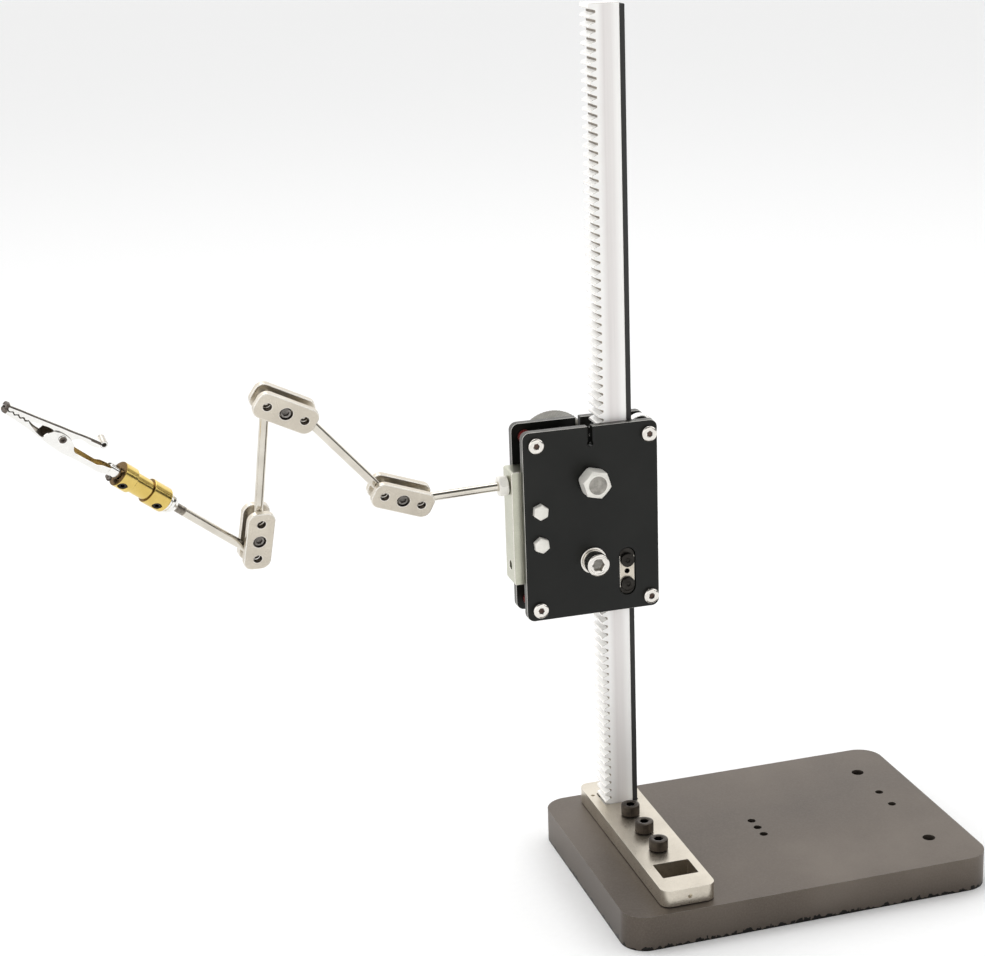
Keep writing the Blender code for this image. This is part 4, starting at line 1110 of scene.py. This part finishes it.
def ribbon(path, width, thick):
    """A strip bent along a path of (height, distance) in millimetres, as wide as width across the clip."""
    mesh = bmesh.new()
    rings = []
    for index, point in enumerate(path):
        along = heading(path, index)
        normal = Vector((-along.y, along.x)) * thick / 2
        here = Vector(point)
        ring = []
        for side, across in ((1, -1), (1, 1), (-1, 1), (-1, -1)):
            spot = here + normal * side
            ring.append(mesh.verts.new((spot.x * MM, across * width / 2 * MM, spot.y * MM)))
        rings.append(ring)
    skin(mesh, rings)
    round_rims(mesh, 0.12 * MM, 2)
    return mesh


# The clip's tables, in millimetres. A spine's rows are (distance, half width, spine height), and an
# edge's are (distance, height).
TOOTH_START, TOOTH_PITCH, TOOTH_DEPTH = 37.4, 2.0, 0.7
FIXED_SPINE = (
    (3, 1.9, -1.7), (7.5, 2.2, -2.65), (14, 2.6, -2.5), (18.6, 2.9, -2.6), (22, 3.1, -2.85),
    (25.6, 3.2, -2.65), (28.5, 3.15, -2.4), (31.4, 3.0, -2.05), (35, 2.6, -1.75), (41, 2.0, -1.35),
    (46.9, 1.4, -1.4),
)
FIXED_EDGE = (
    (3, 0.9), (7.5, 0.3), (9.2, -0.45), (18.6, -0.55), (19.8, 0.2), (21, 1.7), (22, 2.35), (23.5, 2.95),
    (25.6, 3.2), (27.5, 3.1), (29.2, 2.5), (30.4, 1.5), (31.1, 0.3), (31.3, -1.3), (32.8, -1.25),
    (34.9, -0.8), (37.4, 0.1), (46.9, -0.3),
)
MOVING_SPINE = (
    (13.2, 2.3, 6.95), (16, 2.4, 6.7), (20, 2.4, 6.2), (24, 2.4, 5.5), (28, 2.4, 5.0), (32, 2.4, 4.4),
    (35, 2.35, 3.95), (38, 2.2, 3.45), (42, 1.9, 2.8), (47.3, 1.45, 1.75),
)
MOVING_EDGE = (
    (13.2, 4.9), (16, 4.3), (20, 4.55), (21.4, 3.9), (22.6, 2.2), (23.4, 0.9), (24.4, 0.3), (27, 0.3),
    (28, 0.9), (29, 2.2), (30.4, 2.6), (32, 2.5), (37.2, 1.4), (47.3, 0.8),
)
GRIP_START, NOSE_INSIDE, NOSE_START = 29 * MM, 37 * MM, 46.0 * MM
LOOP = (6.75, 12.35)  # the rolled lever end's centre: (height, distance) in millimetres


def teeth(distance, phase):
    """How far a tooth stands at a distance along the jaw, up to the full depth."""
    if distance < TOOTH_START:
        return 0.0
    place = ((distance - TOOTH_START) / TOOTH_PITCH + phase) % 1
    return TOOTH_DEPTH * (1 - abs(2 * place - 1))


def fixed_edge(distance):
    """The fixed jaw's free edge: low on the tail, an ear at the rivet, cut away, then teeth to the tip."""
    return between(FIXED_EDGE, distance)[0] + teeth(distance, 0.0)


def moving_edge(distance):
    """The sprung jaw's free edge: shallow on the lever, an ear at the rivet, teeth to the tip."""
    return between(MOVING_EDGE, distance)[0] - teeth(distance, 0.5)


def block(low, high):
    """A rounded block between two corners in millimetres, in the clip's frame."""
    mesh = bmesh.new()
    bmesh.ops.create_cube(mesh, size=1.0)
    size = Vector(high) - Vector(low)
    bmesh.ops.scale(mesh, vec=size * MM, verts=mesh.verts)
    bmesh.ops.translate(mesh, vec=(Vector(low) + Vector(high)) / 2 * MM, verts=mesh.verts)
    round_rims(mesh, 0.15 * MM, 2)
    return mesh


def rolled(centre, radius, thick, width, start, sweep):
    """A strip rolled up round a centre (height, distance), from an angle and through a sweep in degrees."""
    path, steps = [], 26
    for step in range(steps + 1):
        angle = math.radians(start - sweep * step / steps)
        path.append((centre[0] + radius * math.sin(angle), centre[1] + radius * math.cos(angle)))
    return ribbon(path, width, thick)


def crimp_tab(side):
    """One of the tail's two crimp wings, curled in over the core."""
    mesh = bmesh.new()
    inner, outer, steps = 1.75 * MM, 2.2 * MM, 12
    low, high = 0.5 * MM, 4.4 * MM
    rings = []
    for step in range(steps + 1):
        angle = math.pi + side * math.radians(150) * step / steps
        rings.append([mesh.verts.new((radius * math.cos(angle), radius * math.sin(angle), z))
                      for radius, z in ((inner, low), (outer, low), (outer, high), (inner, high))])
    skin(mesh, rings)
    return mesh


def build_fixed_jaw():
    """The clip's fixed jaw, with its nose closed by a dark block as painted shade, and the crimped tail with
    its core and curl.
    """
    body = sheet_jaw(FIXED_SPINE, fixed_edge, 1, 0.65)
    tail_end = 20 * MM
    # Painted shade: the jaw's inside faces take the darker inner finish.
    finish_where(body, 1, lambda spot, normal: normal.y * spot.y < 0 or (
        normal.x > 0.5 and spot.x < between(FIXED_SPINE, spot.z / MM)[1] * MM + 0.8 * MM))
    finish_where(body, 2, lambda spot, normal: spot.z < tail_end and (normal.y * spot.y < 0 or (
        normal.x > 0.5 and spot.x < -1.2 * MM)))
    # Painted shade over the end of the nose, and all over the nose block and the curl below.
    finish_where(body, 3, lambda spot, _normal: spot.z > NOSE_START)
    nose = painted(block((-1.3, -1.1, 46.2), (-0.2, 1.1, 46.8)), 3)
    core_r, core_end = 1.6 * MM, 4.2 * MM
    core = turned([(0, -5 * MM), (core_r, -5 * MM), (core_r, core_end - 0.3 * MM),
                   (core_r - 0.3 * MM, core_end), (0, core_end)], 40)
    tabs = [crimp_tab(side) for side in (-1, 1)]
    curl = painted(rolled((-2.9, 1.7), 0.75, 0.35, 1.8, 60, 330), 3)
    stand_for("clip_fixed_jaw", joined(body, nose, core, curl, *tabs), "chrome inner trough shade", CLIP)


def in_shade(spot, normal):
    """The inside of the sprung jaw's nose, and a line along its bend that widens at the lever's end."""
    drop = between(MOVING_SPINE, spot.z / MM)[1] * MM - spot.x
    line_end = 1.15 * MM if spot.z < 17 * MM else 0.6 * MM
    inside = normal.y * spot.y < 0 and spot.z > NOSE_INSIDE
    return inside or (abs(normal.y) > 0.55 and 0.25 * MM < drop < line_end)


def build_moving_jaw():
    """The clip's sprung jaw: lever, toothed nose and the rolled loop at the lever's end, with painted shade on
    its inside, along its bend, at its tip and on the loop.
    """
    lever = sheet_jaw(MOVING_SPINE, moving_edge, -1, 0.9)
    # Painted shade: inside the nose and along the bend, inside the grip, and over the end of the nose.
    finish_where(lever, 1, in_shade)
    finish_where(lever, 2, lambda spot, normal: normal.y * spot.y < 0 and GRIP_START < spot.z < NOSE_INSIDE)
    finish_where(lever, 1, lambda spot, _normal: spot.z > NOSE_START + 0.4 * MM)
    # A dark block at the tip, painted shade where the jaws meet.
    tip = painted(block((0.55, -1.2, 46.6), (1.65, 1.2, 47.2)), 1)
    loop = rolled(LOOP, 1.0, 0.6, 4.6, -35, 335)
    # Painted shade: a grey outer face and a dark inner face outline the loop.
    finish_where(loop, 3, lambda _spot, normal: abs(normal.y) < 0.5)
    finish_where(loop, 1, lambda spot, normal: (
        (spot.x - LOOP[0] * MM) * normal.x + (spot.z - LOOP[1] * MM) * normal.z < -0.3 * MM))
    stand_for("clip_moving_jaw", joined(lever, tip, loop), "chrome shade inner ball", CLIP)


def build_rivet():
    """The clip's tubular rivet, painted dark in its middle and with a dark pin in its bore as painted shade,
    and the spring's coil round it.
    """
    across = CLIP @ Matrix.Translation((PIVOT_UP, 0, PIVOT_OUT)) @ facing((0, 0, 0), (0, 1, 0))
    tube_r, bore, flange, half = 0.7 * MM, 0.45 * MM, 1.35 * MM, 3.6 * MM
    rings = [(bore, -half), (bore + 0.2 * MM, -half - 0.25 * MM), (flange, -half, True)]
    rings += [(flange, -half + 0.25 * MM), (tube_r, -half + 0.3 * MM), (tube_r, half - 0.3 * MM)]
    rings += [(flange, half - 0.25 * MM), (flange, half, True), (bore + 0.2 * MM, half + 0.25 * MM)]
    rings.append((bore, half))
    rivet = lathe(rings, 0.12 * MM, 40)
    # Painted shade in the rivet's middle and down its bore.
    finish_where(rivet, 1, lambda spot, _normal: spot.xy.length < 1.05 * MM)
    end = half - 0.4 * MM
    shade_plug = painted(pin(0.55 * MM, -end, end, 24), 1)
    stand_for("clip_rivet", joined(rivet, shade_plug), "chrome shade", across)

    path = []
    wire, coil_r, width, per_turn = 0.26 * MM, 1.25 * MM, 2.9 * MM, 24
    steps = 5 * per_turn
    for step in range(steps + 1):
        angle = TAU * step / per_turn
        along = -width / 2 + width * step / steps
        path.append(Vector((coil_r * math.cos(angle), coil_r * math.sin(angle), along)))
    stand_for("clip_spring", tube(path, wire, 10), "bright", across)


# ---------------- studio

def build_floor():
    """A plain pale floor."""
    floor = bmesh.new()
    bmesh.ops.create_circle(floor, cap_ends=True, radius=6.0, segments=64)
    data = bpy.data.meshes.new("floor")
    floor.to_mesh(data)
    floor.free()
    paper = Nodes("paper")
    grain = paper.noise(400.0, 2.0)
    tone = paper.ramp(grain, ((0.3, (0.965, 0.965, 0.965)), (0.7, (0.98, 0.98, 0.98))))
    paper.link(tone, "Base Color")
    paper.fixed(Roughness=0.9)
    data.materials.append(paper.material)
    ground = bpy.data.objects.new("floor", data)
    bpy.context.scene.collection.objects.link(ground)


def build_sky():
    """A white sky with two dark panels, each (direction, edge, inside, level): the cosines where it starts
    and where it is full, and how bright it is."""
    panels = (
        ((-0.05, -0.5, 0.86), 0.74, 0.9, 0.10),
        ((0.95, -0.3, 0.12), 0.7, 0.9, 0.05),
    )
    world = bpy.data.worlds.new("studio")
    bpy.context.scene.world = world
    world.use_nodes = True
    tree = world.node_tree
    sky = tree.nodes["Background"]
    place = tree.nodes.new("ShaderNodeTexCoord")
    tones = []
    for direction, edge, inside, level in panels:
        toward = tree.nodes.new("ShaderNodeVectorMath")
        toward.operation = "DOT_PRODUCT"
        toward.inputs[1].default_value = Vector(direction).normalized()
        ramp = tree.nodes.new("ShaderNodeValToRGB")
        tree.links.new(place.outputs["Generated"], toward.inputs[0])
        tree.links.new(toward.outputs["Value"], ramp.inputs[0])
        stops = ((edge, (1, 1, 1, 1)), (inside, (level, level, 0.97 * level, 1)))
        for point, (position, colour) in zip(ramp.color_ramp.elements, stops):
            point.position = position
            point.color = colour
        tones.append(ramp.outputs[0])
    both = tree.nodes.new("ShaderNodeVectorMath")
    both.operation = "MULTIPLY"
    for socket, tone in zip(both.inputs, tones):
        tree.links.new(tone, socket)
    tree.links.new(both.outputs[0], sky.inputs["Color"])
    sky.inputs["Strength"].default_value = 1.3


def build_lights():
    """Two soft lights, each (name, place, size, power), turned to the object's middle."""
    aim = Vector((-0.06, 0.0, 0.15))
    for name, spot, size, power in (
        ("key", (-0.3, 0.4, 1.6), 1.2, 7.0),
        ("fill", (1.3, -0.6, 0.9), 0.9, 4.0),
    ):
        lamp = bpy.data.lights.new(name, "AREA")
        lamp.size = size
        lamp.energy = power
        item = bpy.data.objects.new(name, lamp)
        item.matrix_world = facing(spot, Vector(spot) - aim)
        bpy.context.scene.collection.objects.link(item)


def build_camera():
    """The camera, where a fit to the photo's edges puts it."""
    spot = (-0.27515, -0.64177, 0.36288)
    azimuth, elevation, roll = math.radians(17.4011), math.radians(-18.0726), math.radians(-1.5664)
    ahead = Vector((math.sin(azimuth) * math.cos(elevation), math.cos(azimuth) * math.cos(elevation),
                    math.sin(elevation)))
    right = ahead.cross(UP).normalized()
    above = right.cross(ahead)
    tilted = right * math.cos(roll) + above * math.sin(roll)
    top = above * math.cos(roll) - right * math.sin(roll)
    camera = bpy.data.cameras.new("camera")
    camera.sensor_width = 36
    camera.lens = 75.1
    camera.shift_x = -0.0714
    camera.shift_y = 0.0417
    camera.clip_start = 0.01
    item = bpy.data.objects.new("camera", camera)
    item.matrix_world = Matrix.Translation(spot) @ Matrix((tilted, top, -ahead)).transposed().to_4x4()
    bpy.context.scene.collection.objects.link(item)
    bpy.context.scene.camera = item
    bpy.context.scene.view_settings.view_transform = "Standard"


build_base()
build_foot()
build_foot_screws()
build_rack()
build_plates()
build_shoe()
build_corners()
build_bar()
build_axles()
build_knob()
build_arm()
build_coupler()
build_ferrule()
build_fixed_jaw()
build_moving_jaw()
build_rivet()
build_floor()
build_sky()
build_lights()
build_camera()
